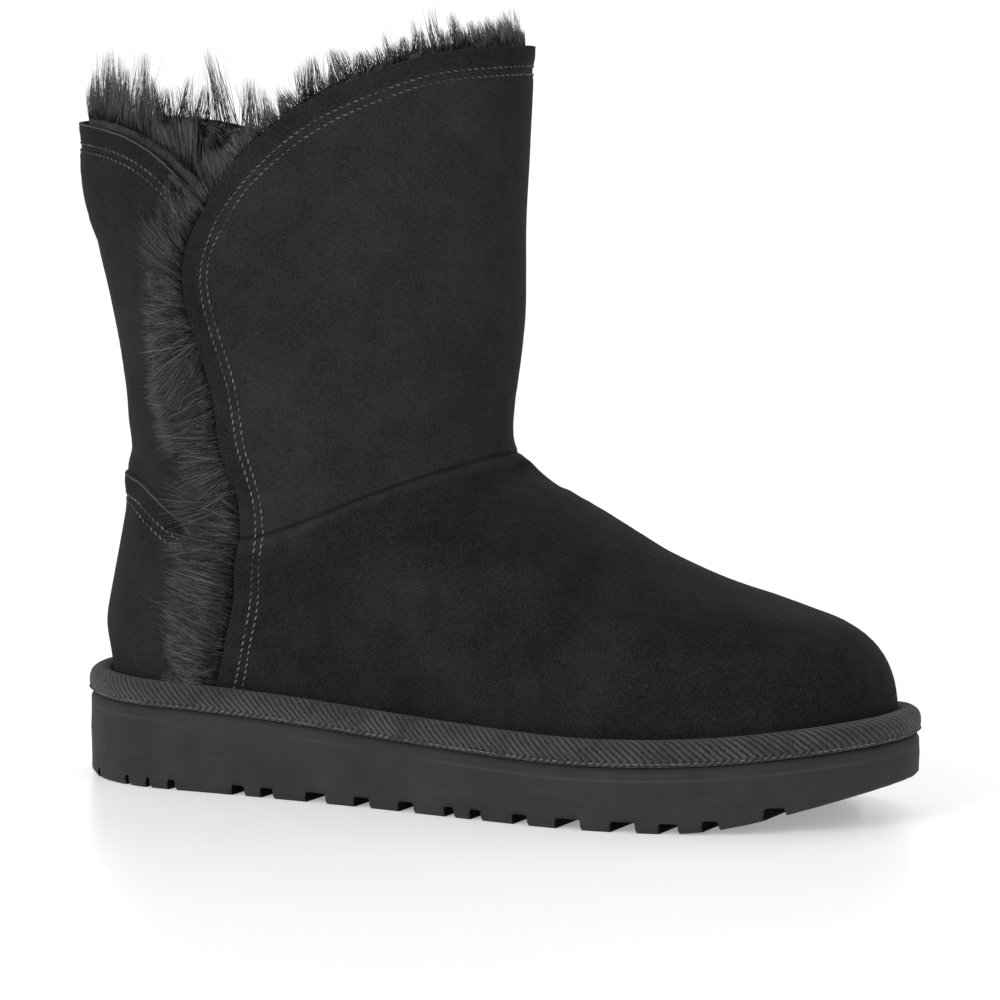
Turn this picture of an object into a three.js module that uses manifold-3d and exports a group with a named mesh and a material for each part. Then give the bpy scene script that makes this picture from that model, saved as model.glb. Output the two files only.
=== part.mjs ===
// Sheepskin ankle boot for a right foot: a hollow sheepskin upper, wool side in, on a lugged sole.
//
// Millimetres, +X to the toe, +Y to the inner (big toe) side, +Z up, standing on z = 0.
// The origin is under the middle of the boot's bounding box.
//
// Two functions shape every curved piece. planPoint() walks round the sole's outline, and skinPoint()
// walks round the upper at a given height. Both take the same turn: 0 is the middle of the toe, PI the
// middle of the heel, and positive turns are on the outer side.

import * as THREE from 'three';
import { mergeVertices } from 'three/addons/utils/BufferGeometryUtils.js';
import Module from 'manifold-3d';

const wasm = await Module();
wasm.setup();

// ---- Driving dimensions ----
const SOLE_LENGTH = 265;
const HEEL_RADIUS = 44; // of the outline where the sole ends at the back
const TOE_RADIUS = 42;
const SOLE_HEIGHT = 25.5; // at the heel, from the floor to the top of the sole
const WELT_HEIGHT = 7.4;
const WELT_WIDTH = 6.7;
const UPPER_INSET = 7; // from the sole's edge in to the foot of the upper
const LAP = 4; // the front flap stands this far out from the back that it laps
const COUNTER_THICKNESS = 1.7;
const INSOLE_THICKNESS = 6;
const INSOLE_EASE = 1.5; // its top edge is taken off by this much
const GAP = 0.3; // left between pieces that touch
const LAID_GAP = 0.5; // left under a piece that lies on a curved face
const UPPER_BOTTOM = SOLE_HEIGHT + GAP;
const WOOL_RISE = 7; // the wool stands this far above the collar's cut edge
const BEND_TOP = 115; // up to this height the upper follows the slope of the sole's top
const BOOT_SHIFT = { x: 2.1, y: 0.5 }; // centres the boot on the origin, since its shaft leans back

// The sole's outline from above. centre is the middle of the outline, to the inner side, and half is
// half the width there. The ends are rounded to the two radii.
const PLAN = [
  { x: -132.5, centre: 0, half: 0 },
  { x: -108, centre: 0, half: 36 },
  { x: -70, centre: -0.5, half: 39.5 },
  { x: -25, centre: -3, half: 40 },
  { x: 15, centre: -3, half: 45 },
  { x: 50, centre: -1, half: 50 },
  { x: 80, centre: 1.5, half: 47.5 },
  { x: 110, centre: 3.5, half: 36 },
  { x: 132.5, centre: 4.5, half: 0 },
];

// The sole from the side: its top and its walking face.
const SOLE_SIDE = [
  { x: -132.5, top: 25.5, bottom: 1.5 },
  { x: -122, top: 25.3, bottom: 0 },
  { x: -60, top: 23.5, bottom: 0 },
  { x: 0, top: 20, bottom: 0 },
  { x: 50, top: 18.4, bottom: 0 },
  { x: 80, top: 19.2, bottom: 0 },
  { x: 92, top: 20, bottom: 1.6 },
  { x: 132.5, top: 24.5, bottom: 12.5 },
];

// The upper, section by section. back and front are its reach along the boot, half is half its width,
// foot is how far the section follows the foot's outline (1) rather than an oval (0), and wall is
// suede and wool together.
const SECTIONS = [
  { z: 25.5, back: -126, front: 126, half: 43, foot: 1, wall: 7 },
  { z: 34, back: -127.5, front: 125, half: 44.5, foot: 1, wall: 7 },
  { z: 45, back: -129, front: 123, half: 45.5, foot: 1, wall: 7 },
  { z: 55, back: -128.5, front: 115.2, half: 45, foot: 0.97, wall: 7 },
  { z: 62, back: -127.3, front: 100.5, half: 44, foot: 0.9, wall: 7 },
  { z: 68, back: -126, front: 78.5, half: 43.6, foot: 0.85, wall: 7.2 },
  { z: 74, back: -124.3, front: 60, half: 43, foot: 0.8, wall: 7.5 },
  { z: 83, back: -122.5, front: 38.6, half: 42.5, foot: 0.6, wall: 8 },
  { z: 93, back: -122.5, front: 17.5, half: 42.5, foot: 0.35, wall: 8.5 },
  { z: 99, back: -123.2, front: 6.7, half: 42.8, foot: 0.25, wall: 8.8 },
  { z: 105, back: -124.3, front: 2.6, half: 43, foot: 0.15, wall: 9 },
  { z: 116, back: -125, front: 5, half: 43.5, foot: 0, wall: 9.5 },
  { z: 140, back: -129.5, front: 8, half: 45, foot: 0, wall: 10 },
  { z: 170, back: -136.8, front: 8.4, half: 47, foot: 0, wall: 10 },
  { z: 200, back: -141, front: 10.5, half: 48.5, foot: 0, wall: 10 },
  { z: 235, back: -143, front: 12, half: 49.5, foot: 0, wall: 10 },
];

// The front flap's rear edge from the sole up to the notch in the collar, seen from the side.
const FLAP_SEAM = [
  { x: -74.5, z: UPPER_BOTTOM },
  { x: -72, z: 43 },
  { x: -67.5, z: 62 },
  { x: -65.3, z: 78 },
  { x: -66.5, z: 96 },
  { x: -70, z: 116 },
  { x: -75.5, z: 134 },
  { x: -79.8, z: 149 },
  { x: -78.6, z: 163 },
  { x: -71, z: 176 },
];

// The collar's cut edge from the notch over the flap to the front, and from the notch to the back.
const FLAP_TOP = [
  { x: -71, z: 176 },
  { x: -62, z: 188 },
  { x: -52, z: 197.5 },
  { x: -37, z: 208 },
  { x: -18, z: 216.6 },
  { x: -2, z: 222 },
];
const COLLAR_FRONT = 223.5; // height of the cut edge at the middle of the front
const BACK_TOP = [
  { x: -71, z: 176 },
  { x: -81, z: 182.7 },
  { x: -91, z: 190.8 },
  { x: -101, z: 195.2 },
  { x: -113, z: 197.8 },
  { x: -126, z: 199 },
];
const COLLAR_BACK = 199.5; // and at the middle of the back

// The heel counter's top edge, from the flap's seam up to its peak at the middle of the back.
const COUNTER_TOP = [
  { x: -69, z: 75.5 },
  { x: -82, z: 78 },
  { x: -92, z: 82.3 },
  { x: -102.5, z: 88.9 },
  { x: -111, z: 92.3 },
];
const COUNTER_PEAK = 94.5;

// The wool that hangs out along the flap's seam, from the seam backwards: how far it lies behind the
// seam and how high it stands over the leather under it.
const WOOL_FRINGE = [
  { behind: 2.2, depth: 2.6 },
  { behind: 6, depth: 4.6 },
  { behind: 13, depth: 4.6 },
  { behind: 20, depth: 3.2 },
  { behind: 26, depth: 1.2 },
];
const FRINGE_ENDS = { aboveWelt: 1.5, belowCollar: 3 }; // it stops this far from both
const FRINGE_THINNING = { share: 0.45, over: 45 }; // thin at its foot, and full this much higher up
const FRINGE_STEP = { from: 4, to: 12 }; // above the counter's top it settles back onto the upper

// Grooves across the tread: the middle of each and its width along the sole's edge.
const GROOVES = [
  { x: -119, width: 2 },
  { x: -104.5, width: 2.2 },
  { x: -96.5, width: 2.2 },
  { x: -88, width: 3.2 },
  { x: -65, width: 5 },
  { x: -55, width: 5 },
  { x: -38, width: 7.5 },
  { x: -22, width: 6 },
  { x: -6.5, width: 6 },
  { x: 8.5, width: 4 },
  { x: 17.5, width: 4.5 },
  { x: 32.5, width: 5.5 },
  { x: 48, width: 8.5 },
  { x: 64.5, width: 8 },
  { x: 77.5, width: 6 },
  { x: 89, width: 5 },
  { x: 105.5, width: 6 },
];
const GROOVE_DEPTH = 3.2;
const GROOVE_ROOF = { round: 1, draft: 0.3 }; // radius of its corners, and how far its sides lean in
const CUTTER_REACH = 2; // the cutting shapes start this far below the tread
const CHANNEL_INSET = 23; // a channel round the tread parts the edge lugs from the middle ones
const CHANNEL_WIDTH = 3.5;
const CHANNEL_DEPTH = 2.8;

// The sole's edge from the walking face to the top: how far it is taken in, and its height as a share
// of the sole's thickness there, with a distance added.
const SOLE_EDGE = [
  { inset: 1.2, share: 0, up: 0 },
  { inset: 0.2, share: 0, up: 1.2 },
  { inset: 0, share: 0.55, up: 0 },
  { inset: 0.2, share: 1, up: -1.5 },
  { inset: 1, share: 1, up: 0 },
];

// ---- Reading the tables ----
const lerp = THREE.MathUtils.lerp;
const smoothstep = THREE.MathUtils.smoothstep;

// A table as a smooth function: its columns by name at any value of the column called `along`.
function readTable(rows, along) {
  const names = Object.keys(rows[0]).filter((name) => name !== along);
  const track = new THREE.CubicInterpolant(
    rows.map((row) => row[along]),
    rows.flatMap((row) => names.map((name) => row[name])),
    names.length,
  );
  const first = rows[0][along];
  const last = rows.at(-1)[along];
  return (value) => {
    const found = track.evaluate(THREE.MathUtils.clamp(value, first, last));
    return Object.fromEntries(names.map((name, i) => [name, found[i]]));
  };
}

// The outline's rows by turn. fullness is the half width over the sine of the turn, so that the
// outline closes in a round end of the stated radius.
function outlineByTurn() {
  const reach = SOLE_LENGTH / 2;
  const rows = PLAN.map(({ x, centre, half }) => {
    const turn = Math.acos(THREE.MathUtils.clamp(x / reach, -1, 1));
    const endRadius = x < 0 ? HEEL_RADIUS : TOE_RADIUS;
    const fullness = half > 0 ? half / Math.sin(turn) : Math.sqrt(endRadius * reach);
    return { turn, centre, fullness };
  });
  return readTable(rows.reverse(), 'turn');
}

const outlineByFoldedTurn = outlineByTurn();
const outlineAt = (turn) => outlineByFoldedTurn(Math.acos(Math.cos(turn)));
const soleSideAt = readTable(SOLE_SIDE, 'x');
const sectionAt = readTable(SECTIONS, 'z');
const BALL_HALF = Math.max(...PLAN.map((row) => row.half));

// ---- The two walks ----
function outlinePoint(turn) {
  const { centre, fullness } = outlineAt(turn);
  return new THREE.Vector2(
    (SOLE_LENGTH / 2) * Math.cos(turn),
    centre - fullness * Math.sin(turn),
  );
}

// A point of the sole's outline, taken in by inset.
function planPoint(turn, inset = 0) {
  const step = 0.01;
  const along = outlinePoint(turn + step).sub(outlinePoint(turn - step)).normalize();
  return outlinePoint(turn).add(new THREE.Vector2(along.y, -along.x).multiplyScalar(inset));
}

// The upper's outer face before it is bent to the sole's top line.
function straightSkin(turn, z) {
  const section = sectionAt(z);
  const { centre, fullness } = outlineAt(turn);
  const reach = (section.front - section.back) / 2;
  const width = section.half * lerp(1, fullness / BALL_HALF, section.foot);
  const free = new THREE.Vector2(
    (section.front + section.back) / 2 + reach * Math.cos(turn),
    section.foot * centre - width * Math.sin(turn),
  );
  const held = planPoint(turn, UPPER_INSET);
  return held.lerp(free, smoothstep(z, SOLE_HEIGHT + WELT_HEIGHT, SOLE_HEIGHT + 3 * WELT_HEIGHT));
}

// A point of the upper: turn and height on its outer face, and how far it stands out from that face.
function skinPoint(turn, z, out = 0) {
  const at = (a, h) => {
    const { x, y } = straightSkin(a, h);
    const bend = 1 - smoothstep(h, SOLE_HEIGHT, BEND_TOP);
    return new THREE.Vector3(x, y, h + bend * (soleSideAt(x).top - SOLE_HEIGHT));
  };
  const point = at(turn, z);
  if (out === 0) return point;
  const step = 0.02;
  const around = at(turn + step, z).sub(at(turn - step, z));
  const upward = at(turn, z + 1).sub(at(turn, z - 1));
  return point.addScaledVector(upward.cross(around).normalize(), out);
}

// The turn at which the upper's outer side has a given x, at a given height.
function turnAt(x, z) {
  const { back, front } = sectionAt(z);
  return Math.acos(THREE.MathUtils.clamp((2 * x - front - back) / (front - back), -1, 1));
}

// ---- Making meshes ----
// Triangles gathered from grids of points, closed into one geometry.
class Shell {
  positions = [];

  triangle(a, b, c) {
    for (const { x, y, z } of [a, b, c]) this.positions.push(x, y, z);
  }

  // rows[j][i] is a grid. Its face is on the side from which i runs right while j runs up.
  grid(rows) {
    for (let j = 0; j + 1 < rows.length; j += 1) {
      for (let i = 0; i + 1 < rows[j].length; i += 1) {
        const [a, b] = [rows[j][i], rows[j][i + 1]];
        const [d, c] = [rows[j + 1][i], rows[j + 1][i + 1]];
        this.triangle(a, b, c);
        this.triangle(a, c, d);
      }
    }
  }

  geometry() {
    const soup = new THREE.BufferGeometry();
    soup.setAttribute('position', new THREE.Float32BufferAttribute(this.positions, 3));
    const merged = mergeVertices(soup, 1e-3);
    const index = merged.index.array;
    const kept = [];
    for (let i = 0; i < index.length; i += 3) {
      const [a, b, c] = index.subarray(i, i + 3);
      if (a !== b && b !== c && c !== a) kept.push(a, b, c);
    }
    merged.setIndex(kept);
    merged.computeVertexNormals();
    return merged;
  }

  // A closed wall whose rows of points run up its outer face and down its inner face.
  wall(outside, inside, rightward, crest = []) {
    this.facing([inside[0], ...outside, ...crest, ...inside.toReversed()], rightward);
  }

  // A grid that runs to the right, or to the left where rightward is negative.
  facing(rows, rightward) {
    this.grid(rightward > 0 ? rows : rows.map((row) => row.toReversed()));
  }

  // A strip that closes the side of a wall between two of its columns.
  seam(first, second, rightward) {
    this.facing(first.map((point, j) => [point, second[j]]), rightward);
  }
}

const TURNS = 60; // facets round a full outline
const ROUND = Array.from({ length: TURNS + 1 }, (_, i) => Math.PI * (1 - (2 * i) / TURNS));

// A line round the sole's outline. Its inset is in millimetres and its height a function of x.
function lineRoundPlan({ inset, height }, turns = ROUND) {
  return turns.map((turn) => {
    const { x, y } = planPoint(turn, inset);
    return new THREE.Vector3(x, y, height(outlinePoint(turn).x));
  });
}

// A solid of lines round the outline, stacked upwards. Its top and underside are strips from side to
// side, so that they follow the height by x.
function stackedPlan(lines) {
  const shell = new Shell();
  shell.grid(lines.map((line) => lineRoundPlan(line)));
  const outer = ROUND.slice(0, TURNS / 2 + 1);
  const inner = outer.map((turn) => -turn);
  const top = lines.at(-1);
  shell.grid([lineRoundPlan(top, outer), lineRoundPlan(top, inner)]);
  shell.grid([lineRoundPlan(lines[0], inner), lineRoundPlan(lines[0], outer)]);
  return shell.geometry();
}

function toManifold(geometry) {
  const bare = geometry.clone();
  bare.deleteAttribute('normal');
  bare.deleteAttribute('uv');
  const merged = mergeVertices(bare, 1e-3);
  return new wasm.Manifold(new wasm.Mesh({
    numProp: 3,
    vertProperties: merged.attributes.position.array,
    triVerts: new Uint32Array(merged.index.array),
  }));
}

function toGeometry(manifold) {
  const { vertProperties, triVerts } = manifold.getMesh();
  const geometry = new THREE.BufferGeometry();
  geometry.setAttribute('position', new THREE.BufferAttribute(vertProperties, 3));
  geometry.setIndex(new THREE.BufferAttribute(triVerts, 1));
  geometry.computeVertexNormals();
  return geometry;
}

// ---- Nets on the upper's face ----
// A net is rows of points whose x is a girth and whose y is a height, both in millimetres.
const GIRTH = 60; // for each radian of turn
const UPPER_ROWS = 26;
const FRONT_COLUMNS = 16;
const BACK_COLUMNS = 9;
const COUNTER_ROWS = 10;

const netPoint = ({ x, z }) => new THREE.Vector2(GIRTH * turnAt(x, z), z);
const throughRows = (rows, ...more) => new THREE.SplineCurve([...rows.map(netPoint), ...more]);
const backMiddle = (z) => new THREE.Vector2(GIRTH * Math.PI, z);

// The middle of the front, spaced evenly along the toe, the instep and the shaft.
function frontMiddle() {
  const samples = 60;
  const profile = Array.from({ length: samples + 1 }, (_, i) => {
    const z = lerp(UPPER_BOTTOM, COLLAR_FRONT, i / samples);
    return new THREE.Vector2(skinPoint(0, z).x, z);
  });
  const line = new THREE.SplineCurve(profile);
  return { getPointAt: (t) => new THREE.Vector2(0, line.getPointAt(t).y) };
}

// A net between a left and a right edge that run up, and a top edge that runs from left to right.
function netBetween(left, right, top, columns, rows) {
  const [lowLeft, lowRight] = [left.getPointAt(0), right.getPointAt(0)];
  const [highLeft, highRight] = [left.getPointAt(1), right.getPointAt(1)];
  return Array.from({ length: rows + 1 }, (_, j) => Array.from({ length: columns + 1 }, (_, i) => {
    const [s, t] = [i / columns, j / rows];
    const across = left.getPointAt(t).lerp(right.getPointAt(t), s);
    const upward = lowLeft.clone().lerp(lowRight, s).lerp(top.getPointAt(s), t);
    const corners = lowLeft.clone().lerp(lowRight, s).lerp(highLeft.clone().lerp(highRight, s), t);
    return across.add(upward).sub(corners);
  }));
}

// A net's points in space. side is 1 on the outer side and -1 on the inner, and out(z, column, row) is
// the distance from the flap's face.
function laidOut(net, side, out) {
  return net.map((row, j) => row.map(({ x, y }, i) => (
    skinPoint((side * x) / GIRTH, y, out(y, i, j))
  )));
}

// The flap's face is at 0. The leather of the back lies this far in from it, and the wool's inner face
// is the same for both.
function backFace(z) {
  const weltTop = SOLE_HEIGHT + WELT_HEIGHT;
  return -lerp(COUNTER_THICKNESS + LAID_GAP, LAP, smoothstep(z, weltTop, weltTop + 4 * WELT_HEIGHT));
}
const flapFace = () => 0;
const woolFace = (z) => -sectionAt(z).wall;

// ---- The pieces ----
function upperGeometry() {
  const flapSeam = throughRows(FLAP_SEAM);
  const flapTop = throughRows(FLAP_TOP, new THREE.Vector2(0, COLLAR_FRONT));
  const backTop = throughRows(BACK_TOP, backMiddle(COLLAR_BACK));
  const backEdge = new THREE.LineCurve(backMiddle(UPPER_BOTTOM), backMiddle(COLLAR_BACK));
  const front = netBetween(flapSeam, frontMiddle(), flapTop, FRONT_COLUMNS, UPPER_ROWS);
  const back = netBetween(flapSeam, backEdge, backTop, BACK_COLUMNS, UPPER_ROWS);
  const shell = new Shell();

  // One sheet of sheepskin with its wool standing over the cut edge. It returns the sheet's edge along
  // the seam.
  const sheet = (net, side, face, rightward) => {
    const outside = laidOut(net, side, face);
    const inside = laidOut(net, side, woolFace);
    const crest = laidOut([net.at(-1)], side, (z) => (face(z) + woolFace(z)) / 2);
    for (const point of crest[0]) point.z += WOOL_RISE;
    shell.wall(outside, inside, side * rightward, crest);
    return [inside[0], ...outside, ...crest, inside.at(-1)].map((row) => row[0]);
  };
  for (const side of [1, -1]) {
    const flapEdge = sheet(front, side, flapFace, 1);
    const lappedEdge = sheet(back, side, backFace, -1);
    shell.seam(lappedEdge, flapEdge, side);
  }
  return shell.geometry();
}

// The heel counter's outer side runs behind the flap's seam.
const COUNTER_EDGE = [
  ...FLAP_SEAM.slice(0, 3).map(({ x, z }) => ({ x: x - 3, z })),
  COUNTER_TOP[0],
];
const counterTopAt = readTable(COUNTER_TOP.toReversed(), 'x');

function counterGeometry() {
  const edge = throughRows(COUNTER_EDGE);
  const top = throughRows(COUNTER_TOP, backMiddle(COUNTER_PEAK));
  const middle = new THREE.LineCurve(backMiddle(UPPER_BOTTOM), backMiddle(COUNTER_PEAK));
  const net = netBetween(edge, middle, top, BACK_COLUMNS, COUNTER_ROWS);
  const shell = new Shell();
  for (const side of [1, -1]) {
    const inside = laidOut(net, side, (z) => backFace(z) + LAID_GAP);
    const outside = laidOut(net, side, (z) => backFace(z) + LAID_GAP + COUNTER_THICKNESS);
    shell.wall(outside, inside, -side);
    shell.seam(outside.map((row) => row[0]), inside.map((row) => row[0]), side);
  }
  return shell.geometry();
}

// The wool that hangs out along the flap's seam, on one side.
function woolTrimGeometry(side) {
  const bottom = SOLE_HEIGHT + WELT_HEIGHT + FRINGE_ENDS.aboveWelt;
  const rows = 20;
  const seamAt = readTable(FLAP_SEAM, 'z');
  const topAt = readTable(BACK_TOP.toReversed(), 'x');
  const places = Array.from({ length: rows + 1 }, (_, j) => WOOL_FRINGE.map(({ behind }) => {
    const top = topAt(FLAP_SEAM.at(-1).x - behind).z - FRINGE_ENDS.belowCollar;
    const z = lerp(bottom, top, j / rows);
    return { x: seamAt(z).x - behind, z };
  }));
  const net = places.map((row) => row.map(netPoint));
  const base = (z, i, j) => {
    const overCounter = z - counterTopAt(places[j][i].x).z;
    const onCounter = 1 - smoothstep(overCounter, FRINGE_STEP.from, FRINGE_STEP.to);
    return backFace(z) + LAID_GAP + onCounter * (COUNTER_THICKNESS + LAID_GAP);
  };
  const depth = (z, i) => {
    const filledOut = smoothstep(z, bottom, bottom + FRINGE_THINNING.over);
    return WOOL_FRINGE[i].depth * lerp(FRINGE_THINNING.share, 1, filledOut);
  };
  const inside = laidOut(net, side, base);
  const outside = laidOut(net, side, (z, i, j) => base(z, i, j) + depth(z, i));
  const shell = new Shell();
  shell.wall(outside, inside, -side);
  const column = (grid, i) => grid.map((row) => row.at(i));
  shell.seam(column(outside, 0), column(inside, 0), side);
  shell.seam(column(inside, -1), column(outside, -1), side);
  return shell.geometry();
}

// The binding that covers the sole's top edge: corners of its section, from the sole's edge in and
// from the sole's top up.
const WELT_SECTION = [
  { inset: 0.9, up: 0 },
  { inset: 0, up: 1.4 },
  { inset: -0.3, up: 3.7 },
  { inset: 0.6, up: 6 },
  { inset: 2.6, up: WELT_HEIGHT },
  { inset: 5.4, up: 7.1 },
  { inset: WELT_WIDTH, up: 5.8 },
  { inset: WELT_WIDTH, up: 0 },
];

function weltGeometry() {
  const lines = WELT_SECTION.map(({ inset, up }) => (
    lineRoundPlan({ inset, height: (x) => soleSideAt(x).top + GAP + up })
  ));
  const shell = new Shell();
  shell.grid([...lines, lines[0]]);
  return shell.geometry();
}

// A groove across the tread, with a rounded roof.
function grooveGeometry({ x, width }) {
  const { round, draft } = GROOVE_ROOF;
  const half = width / 2;
  const shape = new THREE.Shape();
  shape.moveTo(-half, -CUTTER_REACH);
  shape.lineTo(half, -CUTTER_REACH);
  shape.lineTo(half - draft, GROOVE_DEPTH - round);
  shape.quadraticCurveTo(half - draft, GROOVE_DEPTH, half - round, GROOVE_DEPTH);
  shape.lineTo(round - half, GROOVE_DEPTH);
  shape.quadraticCurveTo(draft - half, GROOVE_DEPTH, draft - half, GROOVE_DEPTH - round);
  const across = 3 * BALL_HALF;
  const groove = new THREE.ExtrudeGeometry(shape, {
    depth: across,
    curveSegments: 3,
    bevelEnabled: false,
  });
  groove.rotateX(Math.PI / 2);
  groove.translate(x, across / 2, soleBottomAt(x));
  return groove;
}

function channelGeometry() {
  const roof = (x) => soleBottomAt(x) + CHANNEL_DEPTH;
  const floor = (x) => soleBottomAt(x) - CUTTER_REACH;
  const corners = [
    { inset: CHANNEL_INSET, height: floor },
    { inset: CHANNEL_INSET, height: roof },
    { inset: CHANNEL_INSET + CHANNEL_WIDTH, height: roof },
    { inset: CHANNEL_INSET + CHANNEL_WIDTH, height: floor },
  ].map((corner) => lineRoundPlan(corner));
  const shell = new Shell();
  shell.grid([...corners, corners[0]]);
  return shell.geometry();
}

function soleBottomAt(x) {
  return Math.max(0, soleSideAt(x).bottom);
}

function outsoleGeometry() {
  let sole = toManifold(stackedPlan(SOLE_EDGE.map(({ inset, share, up }) => ({
    inset,
    height: (x) => lerp(soleBottomAt(x), soleSideAt(x).top, share) + up,
  }))));
  for (const groove of GROOVES) sole = sole.subtract(toManifold(grooveGeometry(groove)));
  return toGeometry(sole.subtract(toManifold(channelGeometry())));
}

function insoleGeometry() {
  const wallAtSole = SECTIONS[0].wall;
  const edge = UPPER_INSET + wallAtSole + 2 * GAP;
  const above = (up) => (x) => soleSideAt(x).top + GAP + up;
  return stackedPlan([
    { inset: edge, height: above(0) },
    { inset: edge, height: above(INSOLE_THICKNESS - INSOLE_EASE) },
    { inset: edge + INSOLE_EASE, height: above(INSOLE_THICKNESS) },
  ]);
}

// ---- Materials and assembly ----
const suede = new THREE.MeshStandardMaterial({ color: 0x232324, roughness: 0.95, metalness: 0 });
const wool = new THREE.MeshStandardMaterial({ color: 0x1a1a1b, roughness: 0.9, metalness: 0 });
const tape = new THREE.MeshStandardMaterial({ color: 0x3a3b3d, roughness: 0.85, metalness: 0 });
const foam = new THREE.MeshStandardMaterial({ color: 0x343230, roughness: 0.8, metalness: 0 });

const boot = new THREE.Group();
boot.position.set(BOOT_SHIFT.x, BOOT_SHIFT.y, 0);
for (const [name, geometry, material] of [
  ['upper', upperGeometry(), suede],
  ['heel_counter', counterGeometry(), suede],
  ['wool_trim_outer', woolTrimGeometry(1), wool],
  ['wool_trim_inner', woolTrimGeometry(-1), wool],
  ['welt_binding', weltGeometry(), tape],
  ['outsole', outsoleGeometry(), foam],
  ['insole', insoleGeometry(), wool],
]) {
  const mesh = new THREE.Mesh(geometry, material);
  mesh.name = name;
  boot.add(mesh);
}

export default boot;
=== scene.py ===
# %% [markdown]
# A sheepskin ankle boot, made the way a bootmaker makes it: suede panels cut from one skin, sewn over
# a body of wool, with the sole's joint bound in woven tape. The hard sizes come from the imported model,
# and this script adds what a hand would feel: nap, stitches, tape and wool.

import math

import bmesh
import bpy
import numpy as np
from mathutils import Matrix, Vector, noise
from mathutils.bvhtree import BVHTree
from mathutils.kdtree import KDTree


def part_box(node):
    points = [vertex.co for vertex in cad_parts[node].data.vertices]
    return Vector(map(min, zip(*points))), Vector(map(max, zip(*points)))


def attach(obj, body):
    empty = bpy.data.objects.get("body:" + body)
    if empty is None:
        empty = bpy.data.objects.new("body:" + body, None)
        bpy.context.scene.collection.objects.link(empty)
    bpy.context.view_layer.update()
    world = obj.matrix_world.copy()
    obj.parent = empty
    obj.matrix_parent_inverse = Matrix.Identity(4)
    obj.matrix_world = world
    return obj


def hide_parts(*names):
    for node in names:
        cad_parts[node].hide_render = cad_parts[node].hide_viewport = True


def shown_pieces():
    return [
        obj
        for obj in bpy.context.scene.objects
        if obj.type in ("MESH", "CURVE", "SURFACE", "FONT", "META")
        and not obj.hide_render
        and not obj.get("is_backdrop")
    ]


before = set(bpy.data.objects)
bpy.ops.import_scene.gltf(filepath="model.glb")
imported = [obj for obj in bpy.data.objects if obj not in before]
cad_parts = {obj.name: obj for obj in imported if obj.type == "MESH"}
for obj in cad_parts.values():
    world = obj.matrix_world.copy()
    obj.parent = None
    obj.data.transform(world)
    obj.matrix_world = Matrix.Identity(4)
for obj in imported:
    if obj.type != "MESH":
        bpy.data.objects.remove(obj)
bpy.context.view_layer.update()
MM = 0.001
ROOT = "root"
chance = np.random.default_rng(7)
welt_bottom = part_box("welt_binding")[0].z

# %% [markdown]
# The boot is looked at from its outer side, a little from the toe and a little from above. A long lens
# keeps the sole's lines nearly parallel. A black boot has no bright surface of its own, so it is seen
# by what surrounds it: a white world, brightest near the horizon, draws its edges, and three wide, soft
# lamps draw its folds.

# %% Camera and light
VIEW_TARGET = Vector((5.0, 0.5, 88.3)) * MM
VIEW_AZIMUTH = math.radians(25.2)
VIEW_ELEVATION = math.radians(6.04)
VIEW_DISTANCE = 1.396
LENS = 168.2

scene = bpy.context.scene
scene.view_settings.view_transform = "Standard"
scene.view_settings.look = "None"


def link(obj):
    scene.collection.objects.link(obj)
    return obj


def toward(azimuth, elevation):
    """A unit vector from the boot towards a place seen at that azimuth and elevation."""
    flat = math.cos(elevation)
    return Vector((math.sin(azimuth) * flat, -math.cos(azimuth) * flat, math.sin(elevation)))


camera = link(bpy.data.objects.new("camera", bpy.data.cameras.new("camera")))
camera.data.lens = LENS
camera.data.sensor_width = 36
camera.data.clip_start = 0.05
view_direction = toward(VIEW_AZIMUTH, VIEW_ELEVATION)
camera.location = VIEW_TARGET + view_direction * VIEW_DISTANCE
camera.rotation_euler = view_direction.to_track_quat("Z", "Y").to_euler()
scene.camera = camera
print("camera in mm:", [round(c / MM) for c in camera.location])

LAMPS = [  # degrees round and above the boot, metres from it, metres wide, watts
    ("key_light", -14, 22, 1.6, 0.9, 14),
    ("fill_light", 70, 20, 1.8, 1.2, 5),
    ("back_light", 190, 60, 1.7, 1.0, 4),
]
LAMPS_AIM = Vector((0, 0, 0.12))


def area_light(name, azimuth, elevation, distance, size, watts):
    """A soft square lamp that faces the boot."""
    lamp = bpy.data.lights.new(name, "AREA")
    lamp.size = size
    lamp.energy = watts
    obj = link(bpy.data.objects.new(name, lamp))
    direction = toward(math.radians(azimuth), math.radians(elevation))
    obj.location = LAMPS_AIM + direction * distance
    obj.rotation_euler = direction.to_track_quat("Z", "Y").to_euler()


for lamp_row in LAMPS:
    area_light(*lamp_row)

SKY_LEVEL = 1.04  # white all round and below, and darker overhead
SKY_OVERHEAD = 0.4
SKY_FADE = (0.1, 0.8)  # the heights on a unit sphere between which it darkens

world = bpy.data.worlds.new("studio")
world.use_nodes = True
sky = world.node_tree
up = sky.nodes.new("ShaderNodeSeparateXYZ")
fade = sky.nodes.new("ShaderNodeMapRange")
fade_range = zip(("From Min", "From Max", "To Min", "To Max"), (*SKY_FADE, SKY_LEVEL, SKY_OVERHEAD))
for socket, value in fade_range:
    fade.inputs[socket].default_value = value
sky.nodes["Background"].inputs["Color"].default_value = (1, 1, 1, 1)
sky.links.new(sky.nodes.new("ShaderNodeTexCoord").outputs["Generated"], up.inputs["Vector"])
sky.links.new(up.outputs["Z"], fade.inputs["Value"])
sky.links.new(fade.outputs["Result"], sky.nodes["Background"].inputs["Strength"])
scene.world = world

# %% [markdown]
# A finish could be wired by hand in the shader editor, but a formula is shorter to read. So Term wraps
# one shader socket, and a sum like noise * 0.5 + 0.2 adds its own Math nodes. Finish adds every other
# kind of node with one method.

# %% Shader helpers


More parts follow.
